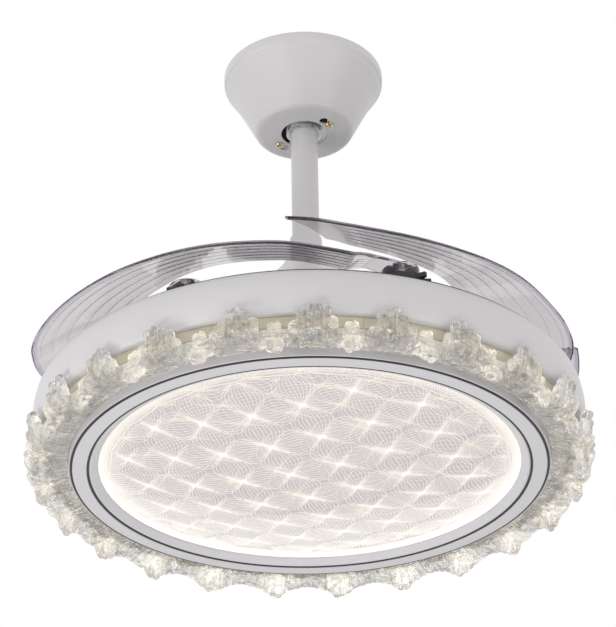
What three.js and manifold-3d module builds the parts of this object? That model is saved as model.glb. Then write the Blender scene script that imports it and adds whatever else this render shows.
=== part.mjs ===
// A ceiling fan whose clear blades fold in over a round lamp with a crystal edge.
// Lengths are millimetres, +Z is up, and the origin is on the ceiling, on the fan's axis.
// Heights in the lamp and the motor are counted up from the lamp's lower face.
import * as THREE from "three";
import { mergeVertices } from "three/addons/utils/BufferGeometryUtils.js";
import Module from "manifold-3d";

const wasm = await Module();
wasm.setup();

// Driving sizes of the whole fan
const faceDrop = 438; // from the ceiling to the lamp's lower face
const drumRadius = 250; // the white drum at its widest
const edgeWidth = 34; // the crystal edge, from the trim ring out to the drum's widest
const bladeOverhang = 2; // how far the folded blades reach past the drum
const rodRadius = 13; // the down rod outside
const canopyRadius = 78; // the ceiling cover at its rim
const canopyHeight = 66;
const seatGap = 0.3; // left between pieces that touch
const cutOverrun = 3; // how far a cutter reaches past what it cuts

const trimRadius = drumRadius - edgeWidth;
const bladeReach = drumRadius + bladeOverhang;

// Counts and directions
const bladeCount = 4;
const bladeGearTeeth = 12;
const ringGearTeeth = 56;
const largeRound = 32; // sides of a large ring
const midRound = 24; // sides of a motor part
const smallRound = 16; // sides of a shaft, hub or boss
const tinyRound = 10; // sides of a screw or pin
const quarterTurn = Math.PI / 2;
const fullTurn = 2 * Math.PI;
const firstHingeAngle = THREE.MathUtils.degToRad(-52);
const screwAngle = THREE.MathUtils.degToRad(-33.6);
const weld = 1e-4; // points closer than this are one point

// The gears set how far out the blades are hinged
const gearModule = 4;
const hingeRadius = (gearModule * (ringGearTeeth + bladeGearTeeth)) / 2;

// Materials
function finish(color, roughness, metalness) {
  return new THREE.MeshStandardMaterial({ color, roughness, metalness });
}
const whitePaint = finish(0xd9d6d3, 0.38, 0);
const blackPaint = finish(0x1a1a1b, 0.5, 0.1);
const zincPlate = finish(0xa9adb2, 0.35, 0.9);
const yellowZinc = finish(0xb08a46, 0.35, 0.9);
const bareSteel = finish(0x8c8f93, 0.4, 0.9);
const copper = finish(0xb56a3a, 0.4, 0.9);
const smokeAcrylic = finish(0xcfcbd6, 0.08, 0);
const clearAcrylic = finish(0xf4f3f0, 0.05, 0);
const opalAcrylic = finish(0xefe9dc, 0.3, 0);
const warmBoard = finish(0xffe9b8, 0.5, 0);
const blackInlay = finish(0x202022, 0.6, 0);
const gearPlastic = finish(0x2b2b2d, 0.55, 0);
const caseWhite = finish(0xe8e8e6, 0.5, 0);

// Turns a three.js geometry into a closed solid that can be joined and cut.
function solidOf(geometry) {
  const bare = geometry.clone();
  bare.deleteAttribute("normal");
  bare.deleteAttribute("uv");
  const merged = mergeVertices(bare, weld);
  return new wasm.Manifold(
    new wasm.Mesh({
      numProp: 3,
      vertProperties: merged.attributes.position.array,
      triVerts: new Uint32Array(merged.index.array),
    }),
  );
}

// Turns a closed solid back into a geometry.
function geometryOf(solid) {
  const mesh = solid.getMesh();
  const geometry = new THREE.BufferGeometry();
  geometry.setAttribute("position", new THREE.BufferAttribute(mesh.vertProperties, 3));
  geometry.setIndex(new THREE.BufferAttribute(mesh.triVerts, 1));
  geometry.computeVertexNormals();
  return geometry;
}

// Turns an outline of [radius, height] points round the Z axis.
function lathe(outline, sides) {
  const points = outline.map(([radius, height]) => new THREE.Vector2(radius, height));
  const area = THREE.ShapeUtils.area(points);
  if (area < 0) points.reverse();
  if (points[0].x > 0) points.push(points[0].clone());
  return new THREE.LatheGeometry(points, sides).rotateX(quarterTurn);
}

// A flat ring between two radii and two heights.
function ring(innerRadius, outerRadius, low, high, sides) {
  return lathe(
    [
      [innerRadius, low],
      [outerRadius, low],
      [outerRadius, high],
      [innerRadius, high],
    ],
    sides,
  );
}

// A round bar between two heights, standing at x, y.
function bar(radius, low, high, sides, x = 0, y = 0) {
  const length = high - low;
  return new THREE.CylinderGeometry(radius, radius, length, sides)
    .rotateX(quarterTurn)
    .translate(x, y, low + length / 2);
}

// A bar along X or Y through the axis point at a height.
function crossBar(radius, length, height, sides, axis) {
  const geometry = new THREE.CylinderGeometry(radius, radius, length, sides);
  if (axis === "x") geometry.rotateZ(quarterTurn);
  return geometry.translate(0, 0, height);
}

// A box from its three extents and its centre.
function block(width, depth, low, high, x = 0, y = 0) {
  const height = high - low;
  return new THREE.BoxGeometry(width, depth, height).translate(x, y, low + height / 2);
}

// A flat outline raised from one height to another.
function prism(shape, low, high, curveSegments) {
  return new THREE.ExtrudeGeometry(shape, {
    depth: high - low,
    bevelEnabled: false,
    curveSegments,
  }).translate(0, 0, low);
}

// A point of a flat outline, from its distance and its direction.
function polar(radius, angle) {
  return new THREE.Vector2(radius * Math.cos(angle), radius * Math.sin(angle));
}

// Gear tooth proportions
const toothRootShare = 1.15; // of the module, below the pitch circle
const toothTipShare = 0.75; // of the module, above it
const rootWidthShare = 0.3; // half a tooth's width at its root, of the tooth step
const tipWidthShare = 0.11; // and at its tip

// A toothed outline. Teeth stand only where mesh(tooth) is true, and the rest stays round.
function gearShape(teeth, module, phase, mesh) {
  const rootRadius = (teeth * module) / 2 - module * toothRootShare;
  const tipRadius = (teeth * module) / 2 + module * toothTipShare;
  const step = fullTurn / teeth;
  const points = [];
  for (let tooth = 0; tooth < teeth; tooth += 1) {
    const middle = phase + tooth * step;
    if (mesh(tooth)) {
      points.push(polar(rootRadius, middle - step * rootWidthShare));
      points.push(polar(tipRadius, middle - step * tipWidthShare));
      points.push(polar(tipRadius, middle + step * tipWidthShare));
      points.push(polar(rootRadius, middle + step * rootWidthShare));
    } else {
      points.push(polar(rootRadius, middle));
    }
  }
  return new THREE.Shape(points);
}

function addPart(parent, name, geometry, material) {
  const mesh = new THREE.Mesh(geometry, material);
  mesh.name = name;
  parent.add(mesh);
}

const fan = new THREE.Group();
const lamp = new THREE.Group();
lamp.position.z = -faceDrop;
fan.add(lamp);

// Hanger ball and its seat height, which the bracket and the canopy share
const ballRadius = 22;
const seatHeight = 16; // the upper side of the bracket's seat plate, above the canopy's floor
const seatPlateTop = seatHeight - canopyHeight;
const seatPlateWall = 2.5;
const ballSeatRadius = 18.4; // the ball's radius where it meets the seat's upper edge
const ballCentre = seatPlateTop + Math.sqrt(ballRadius ** 2 - ballSeatRadius ** 2);

// Hanger bracket: a bent steel strap with a seat plate for the ball
const bracketLength = 104;
const bracketWidth = 38;
const bracketWall = 2.5;
const legSpan = 84; // across the outsides of the two legs
const slotLength = 12;
const slotWidth = 5.5;
const slotSpacing = 78;
const slotSetIn = 11; // the ceiling slots, from the strap's middle line
const screwCircle = 29.3; // canopy screws, from the axis
const screwRadius = 2;
const bracketPieces = [
  block(bracketLength, bracketWidth, -bracketWall, 0),
  block(legSpan, bracketWidth, seatPlateTop - seatPlateWall, seatPlateTop),
  ...[-1, 1].map((side) =>
    block(
      bracketWall,
      bracketWidth,
      seatPlateTop - seatPlateWall,
      0,
      (side * (legSpan - bracketWall)) / 2,
    ),
  ),
];
let bracket = bracketPieces.map(solidOf).reduce((whole, piece) => whole.add(piece));
const seatOpening = ballSeatRadius + seatGap;
const seatLow = seatPlateTop - seatPlateWall - cutOverrun;
const seatHigh = seatPlateTop + cutOverrun;
bracket = bracket.subtract(solidOf(bar(seatOpening, seatLow, seatHigh, 2 * smallRound)));
const entryWidth = 2 * (rodRadius + bracketWall); // lets the rod in from the side
bracket = bracket.subtract(
  solidOf(block(entryWidth, bracketWidth, seatLow, seatHigh, 0, bracketWidth / 2)),
);
for (const side of [-1, 1]) {
  bracket = bracket.subtract(
    solidOf(bar(screwRadius + seatGap, seatLow, seatHigh, tinyRound, side * screwCircle, 0)),
  );
  for (const edge of [-1, 1]) {
    const slot = block(
      slotLength,
      slotWidth,
      -bracketWall - cutOverrun,
      cutOverrun,
      (side * slotSpacing) / 2 - side * slotLength / 2,
      edge * slotSetIn,
    );
    bracket = bracket.subtract(solidOf(slot));
  }
}
const ceilingGroup = new THREE.Group();
ceilingGroup.rotation.z = screwAngle;
fan.add(ceilingGroup);
addPart(ceilingGroup, "hanger_bracket", geometryOf(bracket), blackPaint);

// Canopy screws: yellow zinc, pan heads below the canopy floor, shanks up into the seat plate
const screwHeadRadius = 4;
const screwHeadHeight = 2.6;
const screwPoint = 6; // how far the shank stands above the seat plate
for (const [index, side] of [
  [1, 1],
  [2, -1],
]) {
  const headTop = -canopyHeight - seatGap;
  const head = solidOf(bar(screwHeadRadius, headTop - screwHeadHeight, headTop, tinyRound));
  const shankLow = headTop - screwHeadHeight / 2;
  const shank = solidOf(bar(screwRadius, shankLow, seatPlateTop + screwPoint, tinyRound));
  const driveSlot = screwRadius * 2;
  const driveWidth = screwRadius / 2;
  const driveLow = headTop - screwHeadHeight - cutOverrun;
  const driveHigh = headTop - screwHeadHeight / 2;
  const cross = solidOf(block(driveSlot, driveWidth, driveLow, driveHigh)).add(
    solidOf(block(driveWidth, driveSlot, driveLow, driveHigh)),
  );
  const screw = geometryOf(head.add(shank).subtract(cross)).translate(side * screwCircle, 0, 0);
  addPart(ceilingGroup, `canopy_screw_${index}`, screw, yellowZinc);
}

// Canopy: a spun steel cover with keyholes that hang it on the two screws
const canopyWall = 1.5;
const canopyHoleRadius = 22.2;
const canopyTwist = THREE.MathUtils.degToRad(14);
const keyholeRadius = 4.8;
const canopyShares = [
  // radius share, share of the drop
  [1, 0],
  [1, 0.14],
  [0.98, 0.17],
  [0.9, 0.34],
  [0.815, 0.51],
  [0.722, 0.7],
  [0.65, 0.88],
  [0.577, 1],
];
const canopyOuter = canopyShares.map(([radiusShare, dropShare]) => [
  canopyRadius * radiusShare,
  -canopyHeight * dropShare,
]);
const canopyInner = canopyOuter
  .slice(0, -1)
  .map(([radius, height]) => [radius - canopyWall, Math.max(height, canopyWall - canopyHeight)])
  .reverse();
const canopyOutline = [
  ...canopyOuter,
  [canopyHoleRadius, -canopyHeight],
  [canopyHoleRadius, canopyWall - canopyHeight],
  ...canopyInner,
];
let canopy = solidOf(lathe(canopyOutline, midRound));
for (const side of [0, Math.PI]) {
  const screwAt = screwAngle + side;
  const bigEndAt = screwAt - canopyTwist;
  const low = -canopyHeight - cutOverrun;
  const high = canopyWall - canopyHeight + cutOverrun;
  const slotHalf = screwRadius + 2 * seatGap;
  const endAngle = slotHalf / screwCircle;
  const slot = new THREE.Shape();
  slot.absarc(0, 0, screwCircle + slotHalf, bigEndAt, screwAt + endAngle, false);
  slot.absarc(0, 0, screwCircle - slotHalf, screwAt + endAngle, bigEndAt, true);
  slot.closePath();
  const bigX = screwCircle * Math.cos(bigEndAt);
  const bigY = screwCircle * Math.sin(bigEndAt);
  canopy = canopy
    .subtract(solidOf(prism(slot, low, high, tinyRound)))
    .subtract(solidOf(bar(keyholeRadius, low, high, tinyRound, bigX, bigY)));
}
addPart(fan, "canopy_cover", geometryOf(canopy), whitePaint);

// Hanger ball: a hollow ball that rests in the seat, with the rod's cross pin through it
const ballBoreRadius = 16;
const ballCapDrop = 15; // from the ball's centre to its flat top and foot
const pinRadius = 3.2;
const ballOutline = [];
const ballSteps = 6;
const capAngle = Math.asin(ballCapDrop / ballRadius);
for (let step = 0; step <= ballSteps; step += 1) {
  const angle = -capAngle + (2 * capAngle * step) / ballSteps;
  ballOutline.push([ballRadius * Math.cos(angle), ballRadius * Math.sin(angle)]);
}
const ballTop = ballRadius * Math.cos(capAngle);
const ballBore = Math.min(ballBoreRadius, ballTop - seatGap);
ballOutline.push([ballBore, ballCapDrop], [ballBoreRadius - 2 * seatGap, 0], [ballBore, -ballCapDrop]);
const pinHole = crossBar(pinRadius + seatGap / 2, 2 * ballRadius + cutOverrun, 0, tinyRound, "y");
const ball = solidOf(lathe(ballOutline, smallRound)).subtract(solidOf(pinHole));
addPart(fan, "hanger_ball", geometryOf(ball).translate(0, 0, ballCentre), gearPlastic);
const pinSetIn = 2; // each end stops short of the ball's skin
const pinLength = 2 * (ballRadius - pinSetIn);
addPart(fan, "hanger_pin", crossBar(pinRadius, pinLength, ballCentre, tinyRound, "y"), bareSteel);

// Down rod: a hollow tube from the ball to the coupling on the motor
const rodWall = 1.7;
const rodHead = 4; // how far the rod stands above the ball
const couplingFoot = 166; // the coupling's lower end, above the lamp's face
const couplingLength = 40;
const couplingTop = couplingFoot + couplingLength;
const shaftHold = 16; // how much of the coupling's length holds the shaft
const rodFoot = couplingFoot + shaftHold;
const rodTopHeight = faceDrop + ballCentre + ballCapDrop + rodHead;
const boltRadius = 3;
const boltHeight = (rodFoot + couplingTop) / 2;
const pinHeight = faceDrop + ballCentre;
const rodTube = solidOf(ring(rodRadius - rodWall, rodRadius, rodFoot, rodTopHeight, smallRound));
const throughRod = 2 * (rodRadius + cutOverrun);
const rodPinHole = crossBar(pinRadius + seatGap, throughRod, pinHeight, tinyRound, "y");
const rodBoltHole = crossBar(boltRadius + seatGap, throughRod, boltHeight, tinyRound, "x");
const rod = rodTube.subtract(solidOf(rodPinHole)).subtract(solidOf(rodBoltHole));
addPart(lamp, "down_rod", geometryOf(rod), whitePaint);

// Rod collar: a ribbed zinc ring on the rod, just inside the canopy's hole
const collarRadius = 17.4;
const collarDrop = 1; // how far its foot stands below the canopy
const collarLow = faceDrop - canopyHeight - collarDrop;
const collarLength = 9;
const collarRibs = 3;
const ribDepth = 0.8;
const ribRootShare = 0.17; // where each rib starts to rise, of the pitch
const collarOutline = [[rodRadius + seatGap, collarLow]];
for (let rib = 0; rib < collarRibs; rib += 1) {
  const foot = collarLow + (collarLength * rib) / collarRibs;
  const pitch = collarLength / collarRibs;
  collarOutline.push([collarRadius - ribDepth, foot + pitch * ribRootShare]);
  collarOutline.push([collarRadius, foot + pitch / 2]);
}
collarOutline.push([collarRadius - ribDepth, collarLow + collarLength]);
collarOutline.push([rodRadius + seatGap, collarLow + collarLength]);
addPart(lamp, "rod_collar", lathe(collarOutline, smallRound), zincPlate);

// Rod coupling: a steel socket that takes the rod above and the motor shaft below
const couplingRadius = 20;
const shaftRadius = 9.5;
const couplingOutline = [
  [shaftRadius + seatGap, couplingFoot],
  [couplingRadius, couplingFoot],
  [couplingRadius, couplingTop],
  [rodRadius + seatGap, couplingTop],
  [rodRadius + seatGap, rodFoot - seatGap],
  [shaftRadius + seatGap, rodFoot - seatGap],
];
const throughCoupling = 2 * (couplingRadius + cutOverrun);
const boltHole = crossBar(boltRadius + seatGap, throughCoupling, boltHeight, tinyRound, "x");
const coupling = solidOf(lathe(couplingOutline, smallRound)).subtract(solidOf(boltHole));
addPart(lamp, "rod_coupling", geometryOf(coupling), zincPlate);

// Coupling bolt: hexagon head on one side and its nut on the other
const hexRadius = 5.6;
const hexHeight = 4;
const hexSides = 6;
const boltSpan = 2 * (couplingRadius + seatGap + hexHeight);
const boltShank = solidOf(crossBar(boltRadius, boltSpan, boltHeight, tinyRound, "x"));
const hexes = [-1, 1].map((side) => {
  const hex = crossBar(hexRadius, hexHeight, boltHeight, hexSides, "x");
  return solidOf(hex.translate((side * (boltSpan - hexHeight)) / 2, 0, 0));
});
addPart(lamp, "coupling_bolt", geometryOf(boltShank.add(hexes[0]).add(hexes[1])), bareSteel);

// Coupling cover: a white bell that closes round the rod and hides the coupling
const coverRadius = 72;
const coverFoot = 160;
const coverHeight = 90;
const coverWall = 1.4;
const coverNeck = rodRadius + seatGap + coverWall;
const coverShares = [
  // share of the flare, share of the height
  [0, 1],
  [0.007, 0.93],
  [0.03, 0.82],
  [0.09, 0.72],
  [0.17, 0.645],
  [0.335, 0.51],
  [0.563, 0.367],
  [0.79, 0.222],
  [0.948, 0.089],
  [1, 0],
];
const coverOuter = coverShares.map(([flareShare, heightShare]) => [
  coverNeck + (coverRadius - coverNeck) * flareShare,
  coverFoot + coverHeight * heightShare,
]);
const coverInner = coverOuter.map(([radius, height]) => [radius - coverWall, height]).reverse();
addPart(lamp, "coupling_cover", lathe([...coverOuter, ...coverInner], smallRound), whitePaint);

// Motor shaft: a hollow steel axle that stands still and carries the lamp
const shaftBore = 6.5;
const shaftFoot = 48;
const shaftRoom = 1.2; // between the shaft's end and the rod's
const shaftTop = rodFoot - shaftRoom;
addPart(lamp, "motor_shaft", ring(shaftBore, shaftRadius, shaftFoot, shaftTop, smallRound), bareSteel);

// Motor: an outer rotor in two pressed halves round a wound stator
const motorRadius = 88;
const motorMiddle = 101;
const motorHalf = 27; // from the middle to the outer flat of each half
const motorWall = 3.2;
const bearingRadius = 17;
const bearingWidth = 9;
const hubWall = 4.7;
const hubLip = 2.4;
const lipRoom = 2.5; // between the shaft and the lip over the bearing
const lipRadius = shaftRadius + lipRoom;
const rotor = new THREE.Group();
lamp.add(rotor);
function rotorHalf(side) {
  const pocket = bearingRadius + seatGap;
  const flat = motorHalf - motorWall;
  const outline = [
    [lipRadius, motorHalf + hubLip],
    [pocket + hubWall, motorHalf + hubLip],
    [pocket + 2 * hubWall, motorHalf],
    [motorRadius - motorWall, motorHalf],
    [motorRadius, flat],
    [motorRadius, seatGap / 2],
    [motorRadius - motorWall, seatGap / 2],
    [motorRadius - motorWall, flat],
    [pocket + hubWall, flat],
    [pocket + hubWall, motorHalf - bearingWidth],
    [pocket, motorHalf - bearingWidth],
    [pocket, motorHalf],
    [lipRadius, motorHalf],
  ];
  return lathe(
    outline.map(([radius, offset]) => [radius, motorMiddle + side * offset]),
    midRound,
  );
}
addPart(rotor, "rotor_lower_cover", rotorHalf(-1), blackPaint);
addPart(rotor, "rotor_upper_cover", rotorHalf(1), blackPaint);
for (const [name, side] of [
  ["lower_bearing", -1],
  ["upper_bearing", 1],
]) {
  const outer = motorMiddle + side * (motorHalf - seatGap);
  const inner = outer - side * bearingWidth;
  const low = Math.min(outer, inner);
  const high = Math.max(outer, inner);
  const bearing = ring(shaftRadius + seatGap, bearingRadius, low, high, smallRound);
  addPart(rotor, name, bearing, bareSteel);
}
const magnetWall = 4.4;
const magnetOuter = motorRadius - motorWall - seatGap;
const magnetHalf = 14;
const magnetLow = motorMiddle - magnetHalf;
const magnetHigh = motorMiddle + magnetHalf;
const magnets = ring(magnetOuter - magnetWall, magnetOuter, magnetLow, magnetHigh, midRound);
addPart(rotor, "magnet_ring", magnets, bareSteel);

// Stator: a laminated core whose wide-footed teeth carry the winding
const statorTeeth = 12;
const airGap = 0.6;
const statorRadius = magnetOuter - magnetWall - airGap;
const hubShare = 0.428; // the core's hub, of the core's radius
const statorHub = statorRadius * hubShare;
const statorHalf = 9;
const toothHalfShare = 0.063; // half a tooth's width, of the core's radius
const shoeDepthShare = 0.088;
const toothHalfWidth = statorRadius * toothHalfShare;
const shoeDepth = statorRadius * shoeDepthShare;
const shoeShare = 0.42; // half a tooth foot, of the tooth step
const toothStep = fullTurn / statorTeeth;
const neckRadius = statorRadius - shoeDepth;
const shoeBack = neckRadius + shoeDepth / 2;
const hubHalf = Math.asin(toothHalfWidth / statorHub);
const neckHalf = Math.asin(toothHalfWidth / neckRadius);
const shoeHalf = toothStep * shoeShare;
const corePoints = [];
for (let tooth = 0; tooth < statorTeeth; tooth += 1) {
  const middle = tooth * toothStep;
  corePoints.push(polar(statorHub, middle - hubHalf));
  corePoints.push(polar(neckRadius, middle - neckHalf));
  corePoints.push(polar(shoeBack, middle - shoeHalf));
  corePoints.push(polar(statorRadius, middle - shoeHalf));
  corePoints.push(polar(statorRadius, middle + shoeHalf));
  corePoints.push(polar(shoeBack, middle + shoeHalf));
  corePoints.push(polar(neckRadius, middle + neckHalf));
  corePoints.push(polar(statorHub, middle + hubHalf));
}
const core = new THREE.Shape(corePoints);
const statorLow = motorMiddle - statorHalf;
const statorHigh = motorMiddle + statorHalf;
const coreSolid = solidOf(prism(core, statorLow, statorHigh, tinyRound));
const boreLow = statorLow - cutOverrun;
const boreHigh = statorHigh + cutOverrun;
const coreBore = bar(shaftRadius + seatGap, boreLow, boreHigh, smallRound);
addPart(lamp, "stator_core", geometryOf(coreSolid.subtract(solidOf(coreBore))), bareSteel);

// Stator winding: copper end turns above and below the core, joined through its slots
const endTurnHeight = 5;
const hubRoomShare = 0.063; // between the hub and the end turns, of the core's radius
const shoeRoomShare = 0.038; // and between them and the tooth feet
const slotRoomShare = 0.038; // bare at each end of the copper in a slot
const hubRoom = statorRadius * hubRoomShare;
const shoeRoom = statorRadius * shoeRoomShare;
const slotRoom = statorRadius * slotRoomShare;
const endTurnInner = statorHub + hubRoom;
const endTurnOuter = neckRadius - shoeRoom;
const slotBarDepth = endTurnOuter - endTurnInner - 2 * slotRoom;
const slotBarShare = 0.088;
const slotBarWidth = statorRadius * slotBarShare;
const turnLow = statorLow - seatGap;
const turnHigh = statorHigh + seatGap;
const highTurn = ring(endTurnInner, endTurnOuter, turnHigh, turnHigh + endTurnHeight, smallRound);
const lowTurn = ring(endTurnInner, endTurnOuter, turnLow - endTurnHeight, turnLow, smallRound);
let winding = solidOf(highTurn).add(solidOf(lowTurn));
for (let slot = 0; slot < statorTeeth; slot += 1) {
  const middleRadius = (endTurnInner + endTurnOuter) / 2 + seatGap;
  const half = endTurnHeight / 2;
  const fill = block(slotBarDepth, slotBarWidth, turnLow - half, turnHigh + half, middleRadius, 0);
  winding = winding.add(solidOf(fill.rotateZ(slot * toothStep + toothStep / 2)));
}
addPart(lamp, "stator_winding", geometryOf(winding), copper);

// Blade carrier: a black plate on the rotor with an arm out to each blade hinge
const carrierRadius = 117;
const carrierBore = 30;
const carrierWall = 3.2;
const armHalfWidth = 22;
const hingePinRadius = 5;
const carrierLow = motorMiddle + motorHalf + seatGap;
const carrierHigh = carrierLow + carrierWall;
const gearWall = 4.5;
const gearLow = carrierHigh + seatGap;
const gearHigh = gearLow + gearWall;
const ringGearWall = 17.4; // from the bore to the tooth roots
const pitchRadius = (gearModule * ringGearTeeth) / 2;
const ringGearBore = pitchRadius - gearModule * toothRootShare - ringGearWall;
const collarWall = 5.5;
const collarOuter = ringGearBore - seatGap;
let carrier = solidOf(ring(carrierBore, carrierRadius, carrierLow, carrierHigh, midRound));
const collarFoot = carrierLow + carrierWall / 2;
const collarInner = collarOuter - collarWall;
const collar = ring(collarInner, collarOuter, collarFoot, gearHigh + seatGap, largeRound);
carrier = carrier.add(solidOf(collar));
for (let arm = 0; arm < bladeCount; arm += 1) {
  const angle = firstHingeAngle + arm * quarterTurn;
  const armMiddle = (hingeRadius + ringGearBore) / 2;
  const armLength = hingeRadius - ringGearBore;
  const strap = block(armLength, 2 * armHalfWidth, carrierLow, carrierHigh, armMiddle, 0);
  const end = bar(armHalfWidth, carrierLow, carrierHigh, smallRound, hingeRadius, 0);
  const hole = bar(
    hingePinRadius + seatGap,
    carrierLow - cutOverrun,
    carrierHigh + cutOverrun,
    tinyRound,
    hingeRadius,
    0,
  );
  carrier = carrier
    .add(solidOf(strap.rotateZ(angle)))
    .add(solidOf(end.rotateZ(angle)))
    .subtract(solidOf(hole.rotateZ(angle)));
}
addPart(rotor, "blade_carrier", geometryOf(carrier), blackPaint);

// Ring gear: floats round the carrier's collar and makes the blades open together
const bladeOpening = THREE.MathUtils.degToRad(130);
const usedTeeth = Math.ceil((bladeOpening / fullTurn) * bladeGearTeeth) + 1;
const teethPerArm = ringGearTeeth / bladeCount;
function meshesWithBlade(tooth) {
  const fromArm = (tooth + 1) % teethPerArm;
  return fromArm <= usedTeeth + 1;
}
const ringShape = gearShape(ringGearTeeth, gearModule, firstHingeAngle, meshesWithBlade);
const ringSolid = solidOf(prism(ringShape, gearLow, gearHigh, tinyRound));
const ringBoreRadius = ringGearBore / Math.cos(Math.PI / largeRound); // its flats clear the collar
const ringBore = bar(ringBoreRadius, gearLow - cutOverrun, gearHigh + cutOverrun, largeRound);
addPart(rotor, "ring_gear", geometryOf(ringSolid.subtract(solidOf(ringBore))), gearPlastic);

// Gear keeper: a thin ring on the collar that keeps the ring gear down
const keeperWall = 1.6;
const keeperReach = 8;
const keeperLow = gearHigh + 2 * seatGap;
const keeperOuter = ringGearBore + keeperReach;
const keeper = ring(collarInner, keeperOuter, keeperLow, keeperLow + keeperWall, largeRound);
addPart(rotor, "gear_keeper", keeper, blackPaint);

// Blades: clear sheets that sweep down from the hinge and round over the drum
const bladeWall = 2.2;
const bladeSweep = THREE.MathUtils.degToRad(132);
const hubLow = gearHigh + seatGap; // the clear hub stands on the blade's gear
const hubRise = 9.5;
const bladeRoot = hubLow + hubRise; // height of the sheet's underside at its hinge
const bladeDrop = 51.5; // from the root down to the sheet's lowest edge
const bossRadius = 17;
const acrossSteps = 2;

// Each row is one line across the blade: how far round it lies at the outer and at the inner
// edge, how far out those edges reach past the hinge circle, how far down it is, and its tilt
const bladeShares = [
  [-0.02, -0.02, 0.12, -0.11, 0, 0],
  [0.07, 0.07, 0.1, -0.1, 0, 0],
  [0.11, 0.11, 0.13, -0.09, 0.05, 0.1],
  [0.158, 0.158, 0.28, -0.055, 0.271, 0.2],
  [0.188, 0.188, 0.43, -0.005, 0.511, 0.29],
  [0.218, 0.218, 0.58, 0.055, 0.706, 0.36],
  [0.263, 0.263, 0.73, 0.105, 0.859, 0.4],
  [0.316, 0.316, 0.865, 0.135, 0.946, 0.415],
  [0.383, 0.383, 0.94, 0.148, 0.973, 0.42],
  [0.451, 0.451, 0.955, 0.162, 0.929, 0.42],
  [0.526, 0.526, 0.945, 0.185, 0.87, 0.425],
  [0.602, 0.602, 0.975, 0.22, 0.88, 0.43],
  [0.677, 0.677, 1.02, 0.265, 0.951, 0.435],
  [0.752, 0.752, 1.04, 0.3, 0.973, 0.44],
  [0.85, 0.845, 1.035, 0.3, 0.913, 0.44],
  [0.91, 0.88, 1.005, 0.285, 0.799, 0.42],
  [0.955, 0.905, 0.99, 0.27, 0.695, 0.4],
  [1, 0.925, 0.965, 0.26, 0.609, 0.38],
];
function bladeSheet() {
  const reach = bladeReach - hingeRadius;
  const corners = [];
  bladeShares.forEach(([outerTurn, innerTurn, outerShare, innerShare, dropShare, tilt]) => {
    const outerRadius = hingeRadius + reach * outerShare;
    const innerRadius = hingeRadius + reach * innerShare;
    for (let step = 0; step <= acrossSteps; step += 1) {
      const across = step / acrossSteps;
      const radius = innerRadius + (outerRadius - innerRadius) * across;
      const angle = -bladeSweep * (innerTurn + (outerTurn - innerTurn) * across);
      const height = bladeRoot - bladeDrop * dropShare + tilt * (outerRadius - radius);
      corners.push([radius * Math.cos(angle), radius * Math.sin(angle), height]);
    }
  });
  const sheetPoints = corners.length;
  const positions = [];
  corners.forEach(([x, y, z]) => positions.push(x, y, z));
  corners.forEach(([x, y, z]) => positions.push(x, y, z + bladeWall));
  const faces = [];
  const row = acrossSteps + 1;
  function quad(a, b, c, d) {
    faces.push(a, b, c, a, c, d);
  }
  for (let station = 0; station < bladeShares.length - 1; station += 1) {
    for (let step = 0; step < acrossSteps; step += 1) {
      const here = station * row + step;
      const next = here + row;
      quad(here, here + 1, next + 1, next);
      quad(sheetPoints + here, sheetPoints + next, sheetPoints + next + 1, sheetPoints + here + 1);
    }
  }
  const rim = [];
  const lastStation = (bladeShares.length - 1) * row;
  for (let station = 0; station < bladeShares.length; station += 1) rim.push(station * row);
  for (let step = 1; step <= acrossSteps; step += 1) rim.push(lastStation + step);
  for (let station = bladeShares.length - 2; station >= 0; station -= 1) {
    rim.push(station * row + acrossSteps);
  }
  for (let step = acrossSteps - 1; step > 0; step -= 1) rim.push(step);
  rim.forEach((here, index) => {
    const next = rim[(index + 1) % rim.length];
    quad(here, next, sheetPoints + next, sheetPoints + here);
  });
  const geometry = new THREE.BufferGeometry();
  geometry.setAttribute("position", new THREE.Float32BufferAttribute(positions, 3));
  geometry.setIndex(faces);
  return geometry;
}
const boss = solidOf(bar(bossRadius, hubLow, bladeRoot + bladeWall, smallRound, hingeRadius, 0));
const pinWay = bar(
  hingePinRadius + seatGap,
  gearLow - cutOverrun,
  bladeRoot + bladeWall + cutOverrun,
  tinyRound,
  hingeRadius,
  0,
);
const bladeSolid = solidOf(bladeSheet()).add(boss).subtract(solidOf(pinWay));

// Blade gears, hinge pins and return springs, one set to each arm
const gearStep = fullTurn / bladeGearTeeth;
function meshesWithRing(tooth) {
  return tooth <= 1 || tooth >= bladeGearTeeth - usedTeeth;
}
const bladeGearPhase = Math.PI + gearStep / 2;
const bladeGearShape = gearShape(bladeGearTeeth, gearModule, bladeGearPhase, meshesWithRing);
const bladeGearBlank = prism(bladeGearShape, gearLow, gearHigh, tinyRound);
const bladeGear = solidOf(bladeGearBlank.translate(hingeRadius, 0, 0)).subtract(solidOf(pinWay));
const pinHeadRadius = 9;
const pinHeadHeight = 2.6;
const pinFootRadius = 8.6;
const pinFootHeight = 2;
const springLength = 11.4;
const springWall = 3;
const springHigh = carrierLow - seatGap;
const springLow = springHigh - springLength;
const pinHeadLow = bladeRoot + bladeWall + seatGap;
const pinFootHigh = springLow - seatGap;
const pinOutline = [
  [0, pinFootHigh - pinFootHeight],
  [pinFootRadius, pinFootHigh - pinFootHeight],
  [pinFootRadius, pinFootHigh],
  [hingePinRadius, pinFootHigh],
  [hingePinRadius, pinHeadLow],
  [pinHeadRadius, pinHeadLow],
  [pinHeadRadius - pinHeadHeight / 2, pinHeadLow + pinHeadHeight],
  [0, pinHeadLow + pinHeadHeight],
];
const springInner = hingePinRadius + seatGap;
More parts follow.
